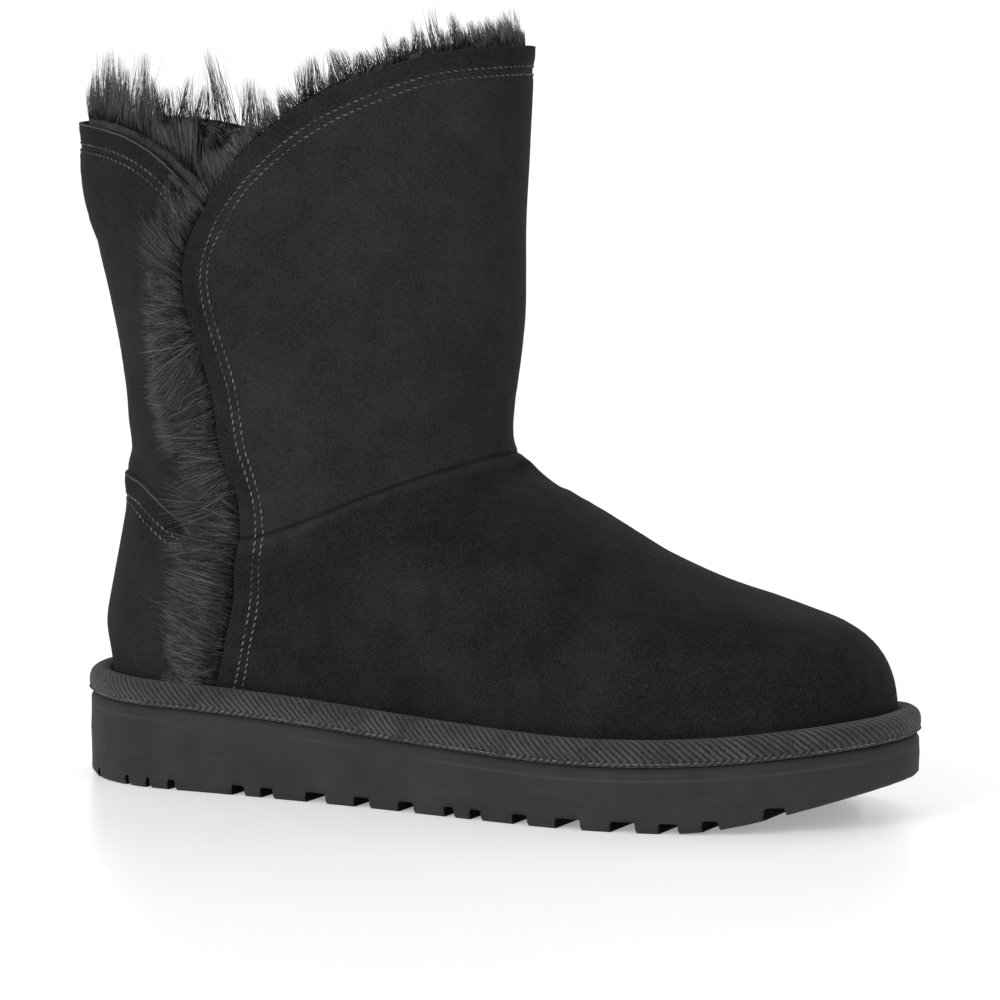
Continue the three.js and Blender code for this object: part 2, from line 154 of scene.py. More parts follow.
class Term:
    """One value in a shader. Arithmetic on it adds Math nodes."""

    def __init__(self, finish, socket):
        self.finish = finish
        self.socket = socket

    def math(self, operation, *operands, clamp=False):
        settings = {"operation": operation, "use_clamp": clamp}
        return self.finish.node("ShaderNodeMath", settings, dict(enumerate(operands)))

    def __add__(self, other):
        return self.math("ADD", self, other)

    def __radd__(self, other):
        return self.math("ADD", other, self)

    def __sub__(self, other):
        return self.math("SUBTRACT", self, other)

    def __rsub__(self, other):
        return self.math("SUBTRACT", other, self)

    def __mul__(self, other):
        return self.math("MULTIPLY", self, other)

    def __rmul__(self, other):
        return self.math("MULTIPLY", other, self)

    def __truediv__(self, other):
        return self.math("DIVIDE", self, other)

    def __abs__(self):
        return self.math("ABSOLUTE", self)

    def sine(self):
        return self.math("SINE", self)

    def clamped(self):
        return self.math("ADD", self, 0.0, clamp=True)

    def between(self, low, high):
        """0 below low and 1 above high, with a straight ramp between."""
        return ((self - low) / (high - low)).clamped()


class Finish:
    """A material under construction, with its Principled shader."""

    def __init__(self, name, roughness, **constants):
        self.material = bpy.data.materials.new(name)
        self.material.use_nodes = True
        self.tree = self.material.node_tree
        self.shader = self.tree.nodes["Principled BSDF"]
        self.shader.inputs["Roughness"].default_value = roughness
        for socket, value in constants.items():
            self.shader.inputs[socket.replace("_", " ")].default_value = value

    def node(self, kind, settings=None, inputs=None, output=0):
        """Adds a node: its settings first, then the values or links of its sockets."""
        node = self.tree.nodes.new(kind)
        for key, value in (settings or {}).items():
            setattr(node, key, value)
        for key, value in (inputs or {}).items():
            if isinstance(value, Term):
                self.tree.links.new(value.socket, node.inputs[key])
            else:
                node.inputs[key].default_value = value
        return Term(self, node.outputs[output])

    def place(self, scale=(1, 1, 1), uv=False):
        """Where a point is: on the object in metres, or in the piece's own map in millimetres."""
        source = self.node("ShaderNodeTexCoord", output="UV" if uv else "Object")
        return self.node("ShaderNodeMapping", inputs={"Vector": source, "Scale": scale})

    def noise(self, size, detail=3.0, roughness=0.55, stretch=(1, 1, 1)):
        """Cloudy noise between 0 and 1, with lumps of about the given size in metres."""
        scale = tuple(s / size for s in stretch)
        inputs = {"Vector": self.place(scale), "Scale": 1.0, "Detail": detail, "Roughness": roughness}
        return self.node("ShaderNodeTexNoise", inputs=inputs)

    def attribute(self, name):
        """A value that the mesh stores at its points."""
        return self.node("ShaderNodeAttribute", {"attribute_name": name}, output="Fac")

    def mix(self, share, low, high):
        """A colour between two others."""
        settings = {"data_type": "RGBA"}
        return self.node("ShaderNodeMix", settings, {0: share, 6: low, 7: high}, output=2)

    def set(self, socket, value):
        self.tree.links.new(value.socket, self.shader.inputs[socket])

    def bump(self, height, distance, strength=1.0):
        """Height from 0 to 1 over a distance in metres, felt in the light only."""
        inputs = {"Height": height, "Distance": distance, "Strength": strength}
        self.set("Normal", self.node("ShaderNodeBump", inputs=inputs))


def grey(level, warmth=0.0):
    """A colour near grey. A positive warmth is brownish and a negative one bluish."""
    return (level * (1 + warmth), level, level * (1 - warmth), 1)


# %% [markdown]
# The floor is a pale, slightly glossy sheet, and it joins the boot to the ground with a soft shadow and
# a faint mirror image. A floor that went on for ever would show its horizon, so this one grows more and
# more transparent away from the boot, until only the white world is left.

# %% Floor
FLOOR_LEVEL = 0.92
FLOOR_GLOW = 0.3
FLOOR_FADE = (0.3, 1.1)  # metres from the boot's middle


def floor_finish():
    """A pale, slightly glossy floor that melts into the white surroundings away from the boot."""
    finish = Finish("studio_floor", 0.3, Specular_IOR_Level=0.3)
    finish.shader.inputs["Base Color"].default_value = grey(FLOOR_LEVEL)
    finish.shader.inputs["Emission Color"].default_value = grey(1)
    finish.shader.inputs["Emission Strength"].default_value = FLOOR_GLOW
    far = finish.node("ShaderNodeVectorMath", {"operation": "LENGTH"}, {0: finish.place()}, "Value")
    finish.set("Alpha", 1 - far.between(*FLOOR_FADE))
    return finish.material


floor_bm = bmesh.new()
bmesh.ops.create_grid(floor_bm, x_segments=1, y_segments=1, size=2)
floor_mesh = bpy.data.meshes.new("floor")
floor_bm.to_mesh(floor_mesh)
floor_bm.free()
floor = link(bpy.data.objects.new("floor", floor_mesh))
floor_mesh.materials.append(floor_finish())
floor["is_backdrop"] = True

# %% [markdown]
# Suede is leather with its flesh side out, brushed to a short nap. Up close it is a fine fuzz, and
# from further off it is soft clouds where the nap lies one way or the other. Noises of those sizes, in
# the boot's own millimetres, need no image and show no seam. The shader's own sheen gives the paler
# edge that any fuzzy cloth has where it turns away. Three marks that the panels carry are read here:
# a painted shade line in the seam, a painted highlight band below it, and a mark that is painted
# shade over the vamp and darker suede along the sewn edges and at the heel.

# %% Suede
def suede_finish(name, level):
    finish = Finish(name, 0.95, Specular_IOR_Level=0.04, Sheen_Weight=0.03, Sheen_Roughness=0.4)
    clouds = finish.noise(32 * MM, detail=4, roughness=0.6)
    brushed = finish.noise(7 * MM, detail=3)
    nap = finish.noise(0.6 * MM, detail=3, roughness=0.8)
    # painted shade over the vamp, which faces the sky, plus darker suede along the sewn edges and at the
    # heel
    painted_shade_and_darker = finish.attribute("painted_shade_and_darker")
    shade = clouds.between(0.35, 0.65) * 0.3 + brushed.between(0.3, 0.7) * 0.2
    shade = shade + (nap - 0.5) * 2.6 + 0.36 - painted_shade_and_darker * 0.3
    dust = finish.noise(1.6 * MM, detail=1).between(0.72, 0.8)
    # painted shade: a dark line along the ankle seam, where its shadow falls
    painted_seam_shade = finish.attribute("painted_seam_shade")
    # painted highlight: a paler band just below the seam, where the puffed suede catches the light
    highlight_and_paleness = finish.attribute("highlight_and_paleness") * (brushed.between(0.35, 0.6) * 0.2 + 0.07)
    warm = finish.noise(24 * MM, detail=2).between(0.35, 0.65)
    pale = finish.mix(warm, grey(level * 1.65), grey(level * 1.55, 0.04))
    colour = finish.mix(shade, grey(level * 0.45, 0.02), pale)
    colour = finish.mix(dust * 0.3 + highlight_and_paleness, colour, grey(level * 3))
    finish.set("Base Color", finish.mix(painted_seam_shade * 0.55, colour, grey(0)))
    finish.bump(nap * 0.8 + brushed * 0.2, 0.35 * MM, 0.5)
    return finish.material


# %% [markdown]
# The wool is dyed as black as the suede, but each hair is smooth and catches the light along its
# length. Every point of a strand stores a tone, which differs from strand to strand and rises towards
# the tip, so one material serves them all. The fleece below is seen only in the gaps between strands,
# and noise is enough for its curls.

# %% Wool
def strand_finish():
    finish = Finish("wool_strand", 0.3, Specular_IOR_Level=0.5)
    tone = finish.attribute("tone")
    finish.set("Base Color", finish.mix(tone, grey(0.006), grey(0.2)))
    return finish.material


def fleece_finish():
    finish = Finish("wool_fleece", 0.9, Specular_IOR_Level=0.2)
    curls = finish.noise(4 * MM, detail=4, roughness=0.65)
    hairs = finish.noise(0.8 * MM, detail=2, stretch=(1, 1, 0.25))
    shade = curls.between(0.3, 0.7) * 0.6 + hairs * 0.4
    finish.set("Base Color", finish.mix(shade, grey(0.01), grey(0.055)))
    finish.bump(curls * 0.6 + hairs * 0.4, 1.6 * MM, 0.8)
    return finish.material


SUEDE = suede_finish("black_suede", 0.016)
CUT_EDGE = suede_finish("cut_suede_edge", 0.055)
STRAND = strand_finish()
FLEECE = fleece_finish()

# %% [markdown]
# The panels could be drawn again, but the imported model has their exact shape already, as loose
# triangles. So a copy is merged, its triangles are joined back to the quads that they came from, and a
# flood from one face, which stops at every sharp edge, finds a whole panel.

# %% Cutting panels from the model
SHARP = math.radians(26)
QUAD_BEND = math.radians(40)  # how far two triangles may lie out of one plane and still join
QUAD_SKEW = math.radians(60)


def merged(node):
    """A CAD node as a bmesh of quads."""
    bm = bmesh.new()
    bm.from_mesh(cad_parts[node].data)
    bmesh.ops.remove_doubles(bm, verts=bm.verts, dist=0.01 * MM)
    bmesh.ops.join_triangles(
        bm,
        faces=bm.faces,
        angle_face_threshold=QUAD_BEND,
        angle_shape_threshold=QUAD_SKEW,
    )
    bm.faces.index_update()
    return bm


def smooth_region(start):
    """Every face that can be reached from start without crossing a sharp edge."""
    region, waiting = {start}, [start]
    while waiting:
        for edge in waiting.pop().edges:
            if len(edge.link_faces) < 2 or edge.calc_face_angle() > SHARP:
                continue
            for face in edge.link_faces:
                if face not in region:
                    region.add(face)
                    waiting.append(face)
    return region


def cut_out(bm, region):
    """A copy of one region alone."""
    kept = {face.index for face in region}
    sheet = bm.copy()
    others = [face for face in sheet.faces if face.index not in kept]
    bmesh.ops.delete(sheet, geom=others, context="FACES")
    return sheet


def smoothed(bm, levels):
    """The bmesh rounded by a Subdivision Surface modifier, with its open corners kept."""
    mesh = bpy.data.meshes.new("working")
    bm.to_mesh(mesh)
    obj = link(bpy.data.objects.new("working", mesh))
    modifier = obj.modifiers.new("round", "SUBSURF")
    modifier.levels = modifier.render_levels = levels
    modifier.boundary_smooth = "PRESERVE_CORNERS"
    depsgraph = bpy.context.evaluated_depsgraph_get()
    rounded = bpy.data.meshes.new_from_object(obj.evaluated_get(depsgraph))
    result = bmesh.new()
    result.from_mesh(rounded)
    bpy.data.objects.remove(obj)
    bpy.data.meshes.remove(mesh)
    bpy.data.meshes.remove(rounded)
    return result


upper = merged("upper")
counter = merged("heel_counter")
front_face = max(upper.faces, key=lambda face: face.calc_center_median().x)
back_face = min(upper.faces, key=lambda face: face.calc_center_median().x)
flap_region = smooth_region(front_face)
back_region = smooth_region(back_face)
counter_region = smooth_region(min(counter.faces, key=lambda face: face.calc_center_median().x))
print("faces in flap, back and counter:", len(flap_region), len(back_region), len(counter_region))

flap = smoothed(cut_out(upper, flap_region), 2)
back = smoothed(cut_out(upper, back_region), 2)
cap = smoothed(cut_out(counter, counter_region), 2)

# %% [markdown]
# A stitcher follows a panel's cut edge, and so does this script. A cut edge is an open edge of its
# mesh, so walking from one open edge to the next gives the line. Everything sewn or frayed along an
# edge is placed from these walks.

# %% Walking a panel's edge
HIDDEN_BELOW = welt_bottom + 9 * MM  # the tape covers the panels up to about here


def open_edge(bm, keep):
    """The longest run of open edges whose points pass keep, from the outer side round to the inner."""
    links = {}
    for edge in bm.edges:
        if edge.is_boundary and all(keep(vert.co) for vert in edge.verts):
            for vert in edge.verts:
                links.setdefault(vert, []).append(edge.other_vert(vert))
    runs = []
    for end in [vert for vert, others in links.items() if len(others) == 1]:
        run = [end]
        while True:
            onward = [v for v in links[run[-1]] if len(run) < 2 or v is not run[-2]]
            if not onward:
                break
            run.append(onward[0])
        if run[0].co.y < run[-1].co.y:
            runs.append(run)
    best = max(runs, key=len)
    return np.array([vert.co for vert in best])


def evenly(points, pitch):
    """Points spaced evenly along a line, and the line's direction at each."""
    steps = np.linalg.norm(np.diff(points, axis=0), axis=1)
    along = np.concatenate([[0], np.cumsum(steps)])
    places = np.linspace(0, along[-1], max(2, round(along[-1] / pitch)))
    spaced = np.stack([np.interp(places, along, column) for column in points.T], axis=1)
    direction = np.gradient(spaced, axis=0)
    return spaced, direction / np.linalg.norm(direction, axis=1)[:, None]


def length_of(line):
    return np.linalg.norm(np.diff(line, axis=0), axis=1).sum()


def away_from(line, distance):
    """A test for points that are at least that far from a line."""
    return lambda co: np.linalg.norm(line - np.array(co), axis=1).min() > distance


flap_edge = open_edge(flap, lambda co: co.z > HIDDEN_BELOW)
clear_of_flap = away_from(flap_edge, 6 * MM)  # the back and the counter go on under the flap
back_edge = open_edge(back, lambda co: co.z > HIDDEN_BELOW and clear_of_flap(co))
cap_edge = open_edge(cap, lambda co: co.z > HIDDEN_BELOW and clear_of_flap(co))
for label, line in (("flap", flap_edge), ("back", back_edge), ("counter", cap_edge)):
    print(f"{label} edge: {length_of(line) / MM:.0f} mm, {len(line)} points")

# %% [markdown]
# A real panel isn't a perfect surface. Its stitches draw it down, a seam across the ankle pinches it
# and makes the leather puff beside it, and walking and handling leave soft folds. A cloth simulation
# would find folds of its own, but not these ones. So each fold is a row of a table in the boot's own
# millimetres: a short path seen from the side, a width and a depth. It marks both sides of the boot.

# %% Ankle seam and folds
ANKLE_SEAM = [(-68, 76.2), (-54, 79.1), (-36, 85.3), (-14, 94.6), (6, 102.2)]  # x and z
SEAM_RELIEF = [  # millimetres above the seam, width and height: the pinch, and the puffs beside it
    (0, 0.7, -0.6), (0, 2.5, -0.2), (-8, 7, 0.7), (7, 5, 0.3),
]
FOLDS = [
    {"path": [(-30, 112), (-12, 107), (6, 108)], "width": 5.5, "depth": -0.9},
    {"path": [(-40, 128), (-16, 121), (8, 123)], "width": 7, "depth": -0.6},
    {"path": [(-20, 84), (2, 88), (20, 84)], "width": 6, "depth": -0.5},
    {"path": [(0, 62), (22, 68), (46, 62)], "width": 8, "depth": -0.45},
    {"path": [(-58, 60), (-40, 50), (-12, 47)], "width": 9, "depth": -0.6},
    {"path": [(-34, 206), (-28, 170), (-36, 138)], "width": 12, "depth": -0.8},
    {"path": [(-2, 200), (-8, 165), (0, 135)], "width": 10, "depth": 0.7},
    {"path": [(60, 34), (84, 42), (108, 36)], "width": 8, "depth": -0.4},
    {"path": [(-126, 108), (-112, 103), (-98, 106)], "width": 6, "depth": -0.8},
    {"path": [(-118, 180), (-112, 150), (-116, 125)], "width": 10, "depth": -0.6},
    {"path": [(-118, 62), (-102, 58), (-92, 50)], "width": 8, "depth": -0.5},
    {"path": [(100, 60), (120, 50), (130, 30), (132, 16)], "width": 15, "depth": 1.2},
    {"path": [(26, 92), (46, 80), (64, 73), (84, 64)], "width": 13, "depth": -0.8},
    {"path": [(8, 101), (14, 97), (21, 92)], "width": 5, "depth": -2.2},
    {"path": [(24, 91), (36, 85), (50, 79)], "width": 7, "depth": 1.2},
    {"path": [(-126, 196), (-125, 180), (-124, 164)], "width": 9, "depth": 1.5},
    {"path": [(-112, 100), (-112, 92), (-111, 83)], "width": 5, "depth": 1.5},
]


def curve_through(rows, steps=16):
    """A smooth line through a few points, by the Catmull-Rom rule."""
    points = np.array([rows[0], *rows, rows[-1]], float)
    t = np.linspace(0, 1, steps, endpoint=False)[:, None]
    stretches = []
    for a, b, c, d in zip(points, points[1:], points[2:], points[3:]):
        bend = (2 * a - 5 * b + 4 * c - d) * t**2 + (3 * b - a - 3 * c + d) * t**3
        stretches.append(b + ((c - a) * t + bend) / 2)
    return np.concatenate([*stretches, points[-1:]])


def bell(distance, width):
    return np.exp(-((distance / width) ** 2))


def seam_distance(points):
    """How far each point is above the ankle seam, in metres."""
    line = curve_through(ANKLE_SEAM) * MM
    return points[:, 2] - np.interp(points[:, 0], line[:, 0], line[:, 1])


def seam_relief(points):
    """The pinch of the ankle seam with the puffs on either side, in metres."""
    above = seam_distance(points) / MM
    return sum(height * bell(above - at, width) for at, width, height in SEAM_RELIEF) * MM


def fold_relief(points):
    """Every fold of the table, each fading out towards the ends of its path, in metres."""
    seen = points[:, [0, 2]] / MM
    total = np.zeros(len(points))
    for fold in FOLDS:
        line = curve_through(fold["path"], 8)
        gaps = np.linalg.norm(seen[:, None, :] - line[None, :, :], axis=2)
        place = gaps.argmin(axis=1) / (len(line) - 1)
        total += fold["depth"] * bell(gaps.min(axis=1), fold["width"]) * np.sin(math.pi * place)
    return total * MM


print("folds:", len(FOLDS), "in a table")

# %% [markdown]
# The folds, the seam and the stitch channel are all heights over a panel, and they are added up and
# pushed out along its normals. Sculpting by hand could do the same, but a height that is worked out can
# be changed with one number. The mesh is made finer only where the relief is finer than its faces,
# which is along the stitches and the seam.

# %% Pressing the relief into the panels


def uneven(points, size, height):
    """Slow unevenness with lumps of about that size."""
    values = [noise.noise(Vector(point) / size) for point in points]
    return np.array(values) * height


def distance_from(points, line):
    """How far each point is from a line of points."""
    parts = np.array_split(points, max(1, len(points) // 2000))
    return np.concatenate([
        np.linalg.norm(part[:, None, :] - line[None, :, :], axis=2).min(axis=1) for part in parts
    ])


def positions(bm):
    return np.array([vert.co for vert in bm.verts])


def raised(bm, heights):
    """Moves every vertex along its normal."""
    bm.normal_update()
    for vert, height in zip(bm.verts, heights):
        vert.co += vert.normal * float(height)
    bm.normal_update()


def refined(bm, close):
    """Halves the edges between vertices that are marked close."""
    bm.verts.index_update()
    edges = [edge for edge in bm.edges if all(close[vert.index] for vert in edge.verts)]
    bmesh.ops.subdivide_edges(bm, edges=edges, cuts=1, use_grid_fill=True)


EDGE_PITCH = 2 * MM
STITCH_INSETS = (6 * MM, 8.3 * MM)
STITCH_DRAW = 0.45 * MM  # how far the thread draws the suede down, and how wide the channel is
CHANNEL_WIDTH = 2 * MM
EDGE_SWELL = 0.25 * MM  # between the stitches and the cut edge the suede swells up again
SWELL_WIDTH = 2.5 * MM
EDGE_ZONE = 11 * MM  # the finer mesh along an edge and, twice over, along the seam
SEAM_ZONES = (9 * MM, 5 * MM)
SINK_WIDTH = 9 * MM
LUMPS = ((34 * MM, 0.5 * MM), (11 * MM, 0.1 * MM))  # size and height


def dressed(bm, edge, has_seam=False, sink=0.0):
    """Gives a panel its stitch channel, folds, lumps and seam. Its edge can sink towards its neighbour."""
    line = evenly(edge, EDGE_PITCH)[0]
    refined(bm, distance_from(positions(bm), line) < EDGE_ZONE)
    if has_seam:
        for reach in SEAM_ZONES:
            refined(bm, np.abs(seam_distance(positions(bm))) < reach)
    points = positions(bm)
    inset = distance_from(points, line)
    heights = EDGE_SWELL * bell(inset - SWELL_WIDTH, SWELL_WIDTH) - sink * bell(inset, SINK_WIDTH)
    heights -= STITCH_DRAW * bell(inset - sum(STITCH_INSETS) / 2, CHANNEL_WIDTH)
    heights += fold_relief(points) + sum(uneven(points, size, height) for size, height in LUMPS)
    if has_seam:
        heights += seam_relief(points)
    raised(bm, heights)


dressed(flap, flap_edge, has_seam=True)
dressed(back, back_edge)
dressed(cap, cap_edge, sink=1.3 * MM)
for label, panel in (("flap", flap), ("back", back), ("counter", cap)):
    print(f"{label}: {len(panel.verts)} points")

# %% [markdown]
# Stitches, frayed edges and the tips of the wool all lie on the panels. A Shrinkwrap modifier could lay
# them there, but many small things are quicker with a search tree: it gives the nearest place on a
# panel and the panel's normal there.

# %% Laying things on a panel


class Surface:
    """One or more panels, as a place to lay things on."""

    def __init__(self, *sheets):
        whole = bmesh.new()
        for sheet in sheets:
            mesh = bpy.data.meshes.new("working")
            sheet.to_mesh(mesh)
            whole.from_mesh(mesh)
            bpy.data.meshes.remove(mesh)
        self.tree = BVHTree.FromBMesh(whole)
        whole.free()

    def onto(self, points, lift=0.0):
        """The nearest points on the surface, lifted off it, with the surface's normals."""
        found = [self.tree.find_nearest(point) for point in points]
        normals = np.array([hit[1] for hit in found])
        return np.array([hit[0] for hit in found]) + normals * lift, normals


flap_surface = Surface(flap)
back_surface = Surface(back)
cap_surface = Surface(cap)
heel_surface = Surface(back, cap)


def inward(line, direction, surface):
    """The way from a panel's edge into the panel, at each point of the edge.

    A step to either side is tried, and the one that stays on the panel is right."""
    sideways = np.cross(surface.onto(line)[1], direction)
    steps = (sideways * 4 * MM, -sideways * 4 * MM)
    gaps = [np.linalg.norm(line + step - surface.onto(line + step)[0], axis=1).mean() for step in steps]
    return sideways if gaps[0] < gaps[1] else -sideways


# %% [markdown]
# Each panel is one layer of suede, and its surface is all there is so far. A Solidify modifier gives it
# the real thickness, and a small bevel keeps the cut soft. The rim takes the second material: the flap
# and the back are dyed through, while the counter's cut edge is paler. Marks on the mesh tell the
# shader where to paint: painted shade as a dark line in the seam, a painted highlight just below it,
# painted shade over the vamp, and darker suede along the sewn edges and at the heel.

# %% Panels
LEATHER = 1.6 * MM
CUT_ROUNDING = 0.3 * MM
SEAM_LINE = 0.4 * MM  # half the width of the painted shade line where the shaft and the vamp meet
SEAM_HIGHLIGHT_BELOW = 1.8 * MM  # the painted highlight band's middle is that far below the seam
SEAM_HIGHLIGHT_WIDTH = 1.7 * MM
BORDER_DARK = 0.8
BORDER_FADE = 1.5 * MM  # the dark border ends that softly, at the first row of stitches


def piece(name, mesh, materials, replaces=()):
    """A finished mesh as a piece of the boot."""
    mesh.name = name
    for material in materials:
        mesh.materials.append(material)
    mesh.shade_smooth()
    obj = link(bpy.data.objects.new(name, mesh))
    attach(obj, ROOT)
    if replaces:
        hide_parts(*replaces)
    return obj


def to_mesh(bm):
    mesh = bpy.data.meshes.new("working")
    bm.to_mesh(mesh)
    bm.free()
    return mesh


def mark(mesh, label, values):
    """Stores a value at each of a mesh's points, for a shader to read."""
    data = mesh.attributes.new(label, "FLOAT", "POINT").data
    data.foreach_set("value", np.asarray(values, np.float32).ravel())


def leather(name, bm, edge, rim, replaces, has_seam=False, painted_shade_and_darker=0.0):
    """A panel of real thickness, with the marks for its shader."""
    points = positions(bm)
    above = seam_distance(points)
    inset = distance_from(points, evenly(edge, EDGE_PITCH)[0])
    border = np.clip((STITCH_INSETS[0] - inset) / BORDER_FADE, 0, 1)
    # painted shade in the seam, a painted highlight below it, painted shade over the vamp, and darker
    # suede along the edges
    marks = {
        "painted_seam_shade": bell(above, SEAM_LINE) * has_seam,
        "highlight_and_paleness": bell(above + SEAM_HIGHLIGHT_BELOW, SEAM_HIGHLIGHT_WIDTH) * has_seam,
        "painted_shade_and_darker": np.maximum((above < 0) * has_seam, BORDER_DARK * border) + painted_shade_and_darker,
    }
    mesh = to_mesh(bm)
    for label, values in marks.items():
        mark(mesh, label, values)
    obj = piece(name, mesh, (SUEDE, rim), replaces)
    solid = obj.modifiers.new("thickness", "SOLIDIFY")
    solid.thickness = LEATHER
    solid.offset = -1
    solid.material_offset_rim = 1
    soft = obj.modifiers.new("soft_cut", "BEVEL")
    soft.width = CUT_ROUNDING
    soft.segments = 2
    soft.limit_method = "ANGLE"
    soft.angle_limit = math.radians(60)
    print(f"{name}: {len(points)} points, {LEATHER / MM:.1f} mm thick")


leather("front_flap", flap, flap_edge, SUEDE, ["upper"], has_seam=True)
leather("back_panel", back, back_edge, SUEDE, [], painted_shade_and_darker=0.5)
leather("heel_counter_cap", cap, cap_edge, CUT_EDGE, ["heel_counter"], painted_shade_and_darker=0.2)

# %% [markdown]
# The fibres of a cut edge fray and stand up a little, so the edge is drawn by a fine, slightly wandering
# bead, as dark as the suede on the flap and pale on the back and the counter. A curve with a round
# bevel makes the bead, because it needs no more than the edge's own line, and is then turned into a
# mesh.

# %% Frayed edges
BEAD_PITCH = 1.2 * MM
BEAD_INSET = 0.25 * MM
BEAD_WANDER = (3 * MM, 0.12 * MM)  # how long a bend is, and how far it goes


def tube_mesh(lines, radius):
    """Round beads along some lines, as one mesh."""
    curve = bpy.data.curves.new("working", "CURVE")
    curve.dimensions = "3D"
    curve.bevel_depth = radius
    curve.bevel_resolution = 1
    curve.use_fill_caps = True
    for line in lines:
        spline = curve.splines.new("POLY")
        spline.points.add(len(line) - 1)
        spline.points.foreach_set("co", np.c_[line, np.ones(len(line))].ravel())
    obj = link(bpy.data.objects.new("working", curve))
    mesh = bpy.data.meshes.new_from_object(obj)
    bpy.data.objects.remove(obj)
    return mesh


def bead_line(edge, surface, lift):
    """The line of a panel's edge, just inside it and a little up from the panel or sunk into it."""
    line, direction = evenly(edge, BEAD_PITCH)
    into = inward(line, direction, surface)
    wander = uneven(line, *BEAD_WANDER)[:, None]
    return surface.onto(line + into * (BEAD_INSET + wander), lift)[0]


flap_bead = bead_line(flap_edge, flap_surface, -0.15 * MM)
heel_beads = [bead_line(back_edge, back_surface, -0.1 * MM), bead_line(cap_edge, cap_surface, -0.1 * MM)]
piece("frayed_flap_edge", tube_mesh([flap_bead], 0.3 * MM), [SUEDE])
piece("frayed_heel_edges", tube_mesh(heel_beads, 0.26 * MM), [CUT_EDGE])
print("points along the beads:", len(flap_bead), [len(bead) for bead in heel_beads])

# %% [markdown]
# Two needles sew every edge, one row beside the other. One stitch is a small flattened ball, because
# there are hundreds of them and each is smaller than a grain of rice. It is copied along the rows,
# leaning a little as a lockstitch does. The thread is greyer in patches, and most of all low down on
# the boot.

# %% Stitches
STITCH_PITCH = 2.2 * MM
STITCH_LENGTH = 1.65 * MM
STITCH_WIDTH = 0.55 * MM
STITCH_LEAN = math.radians(-16)
STITCH_LIFT = 0.12 * MM
ROW_EASING = 14
THREAD_PALE_HEIGHTS = (90 * MM, 160 * MM)  # between them the thread's paleness lets off


def thread_finish():
    finish = Finish("grey_thread", 0.6, Specular_IOR_Level=0.4)
    wear = finish.noise(5 * MM, detail=1).between(0.35, 0.7)
    height = finish.node("ShaderNodeSeparateXYZ", inputs={"Vector": finish.place()}, output="Z")
    highlight_and_paleness = 0.65 + 0.8 * (1 - height.between(*THREAD_PALE_HEIGHTS))
    finish.set("Base Color", finish.mix((wear * highlight_and_paleness).clamped(), grey(0.022), grey(0.13)))
    return finish.material


THREAD = thread_finish()


def mesh_of(copied, triangles):
    """One mesh from many copies of a shape: each copy's points, and the shape's own triangles."""
    offsets = (np.arange(len(copied)) * copied.shape[1])[:, None, None]
    points, triangles = copied.reshape(-1, 3), (triangles[None] + offsets).reshape(-1, 3)
    mesh = bpy.data.meshes.new("working")
    mesh.vertices.add(len(points))
    mesh.vertices.foreach_set("co", np.ascontiguousarray(points, np.float32).ravel())
    mesh.loops.add(triangles.size)
    mesh.loops.foreach_set("vertex_index", np.ascontiguousarray(triangles, np.int32).ravel())
    mesh.polygons.add(len(triangles))
    mesh.polygons.foreach_set("loop_start", np.arange(0, triangles.size, 3, dtype=np.int32))
    mesh.update(calc_edges=True)
    return mesh


def arrays_of(bm):
    """A small bmesh's points and triangles, to be copied many times."""
    bmesh.ops.triangulate(bm, faces=bm.faces)
    bm.verts.index_update()
    points = positions(bm)
    triangles = np.array([[vert.index for vert in face.verts] for face in bm.faces])
    bm.free()
    return points, triangles


def copies(template, matrices):
    """Copies of a small shape, each turned and placed by a 3 by 4 matrix, as one mesh."""
    points, triangles = template
    turned = np.einsum("kij,nj->kni", matrices[:, :, :3], points) + matrices[:, None, :, 3]
    return mesh_of(turned, triangles)


def stitch_shape():
    bm = bmesh.new()
    bmesh.ops.create_uvsphere(bm, u_segments=6, v_segments=5, radius=0.5)
    bmesh.ops.rotate(bm, verts=bm.verts, matrix=Matrix.Rotation(math.pi / 2, 3, "Y"))
    bmesh.ops.scale(bm, verts=bm.verts, vec=(STITCH_LENGTH, STITCH_WIDTH, 0.8 * STITCH_WIDTH))
    return arrays_of(bm)


def eased(line, times):
    """A line with its small wiggles averaged away."""
    for _ in range(times):
        line = np.concatenate([line[:1], (line[:-2] + line[1:-1] + line[2:]) / 3, line[-1:]])
    return line


def unit(vectors):
    return vectors / np.linalg.norm(vectors, axis=-1, keepdims=True)


def stitch_places(edge, surface, inset):
    """A matrix for each stitch of a row that follows an edge at some inset."""
    line, direction = evenly(edge, 1.5 * MM)
    row = surface.onto(eased(line + inward(line, direction, surface) * inset, ROW_EASING))[0]
    spots, along = evenly(row, STITCH_PITCH)
    spots, normals = surface.onto(spots, STITCH_LIFT)
    side = np.cross(normals, along)
    turned = unit(along * math.cos(STITCH_LEAN) + side * math.sin(STITCH_LEAN))
    return np.stack([turned, np.cross(normals, turned), normals, spots], axis=2)


stitch_rows = [
    stitch_places(edge, surface, inset)
    for edge, surface in ((flap_edge, flap_surface), (back_edge, back_surface), (cap_edge, cap_surface))
    for inset in STITCH_INSETS
]
stitch_matrices = np.concatenate(stitch_rows)
piece("edge_stitches", copies(stitch_shape(), stitch_matrices), [THREAD])
print("stitches:", len(stitch_matrices))

# %% [markdown]
# The tape and the sole both follow the boot's outline seen from above. It could be traced again, but
# the model has it: of the corners of its own tape, the outermost ones lie on the outline, and a smooth
# closed curve joins them.

# %% Outline of the boot
CLUSTER = 3 * MM


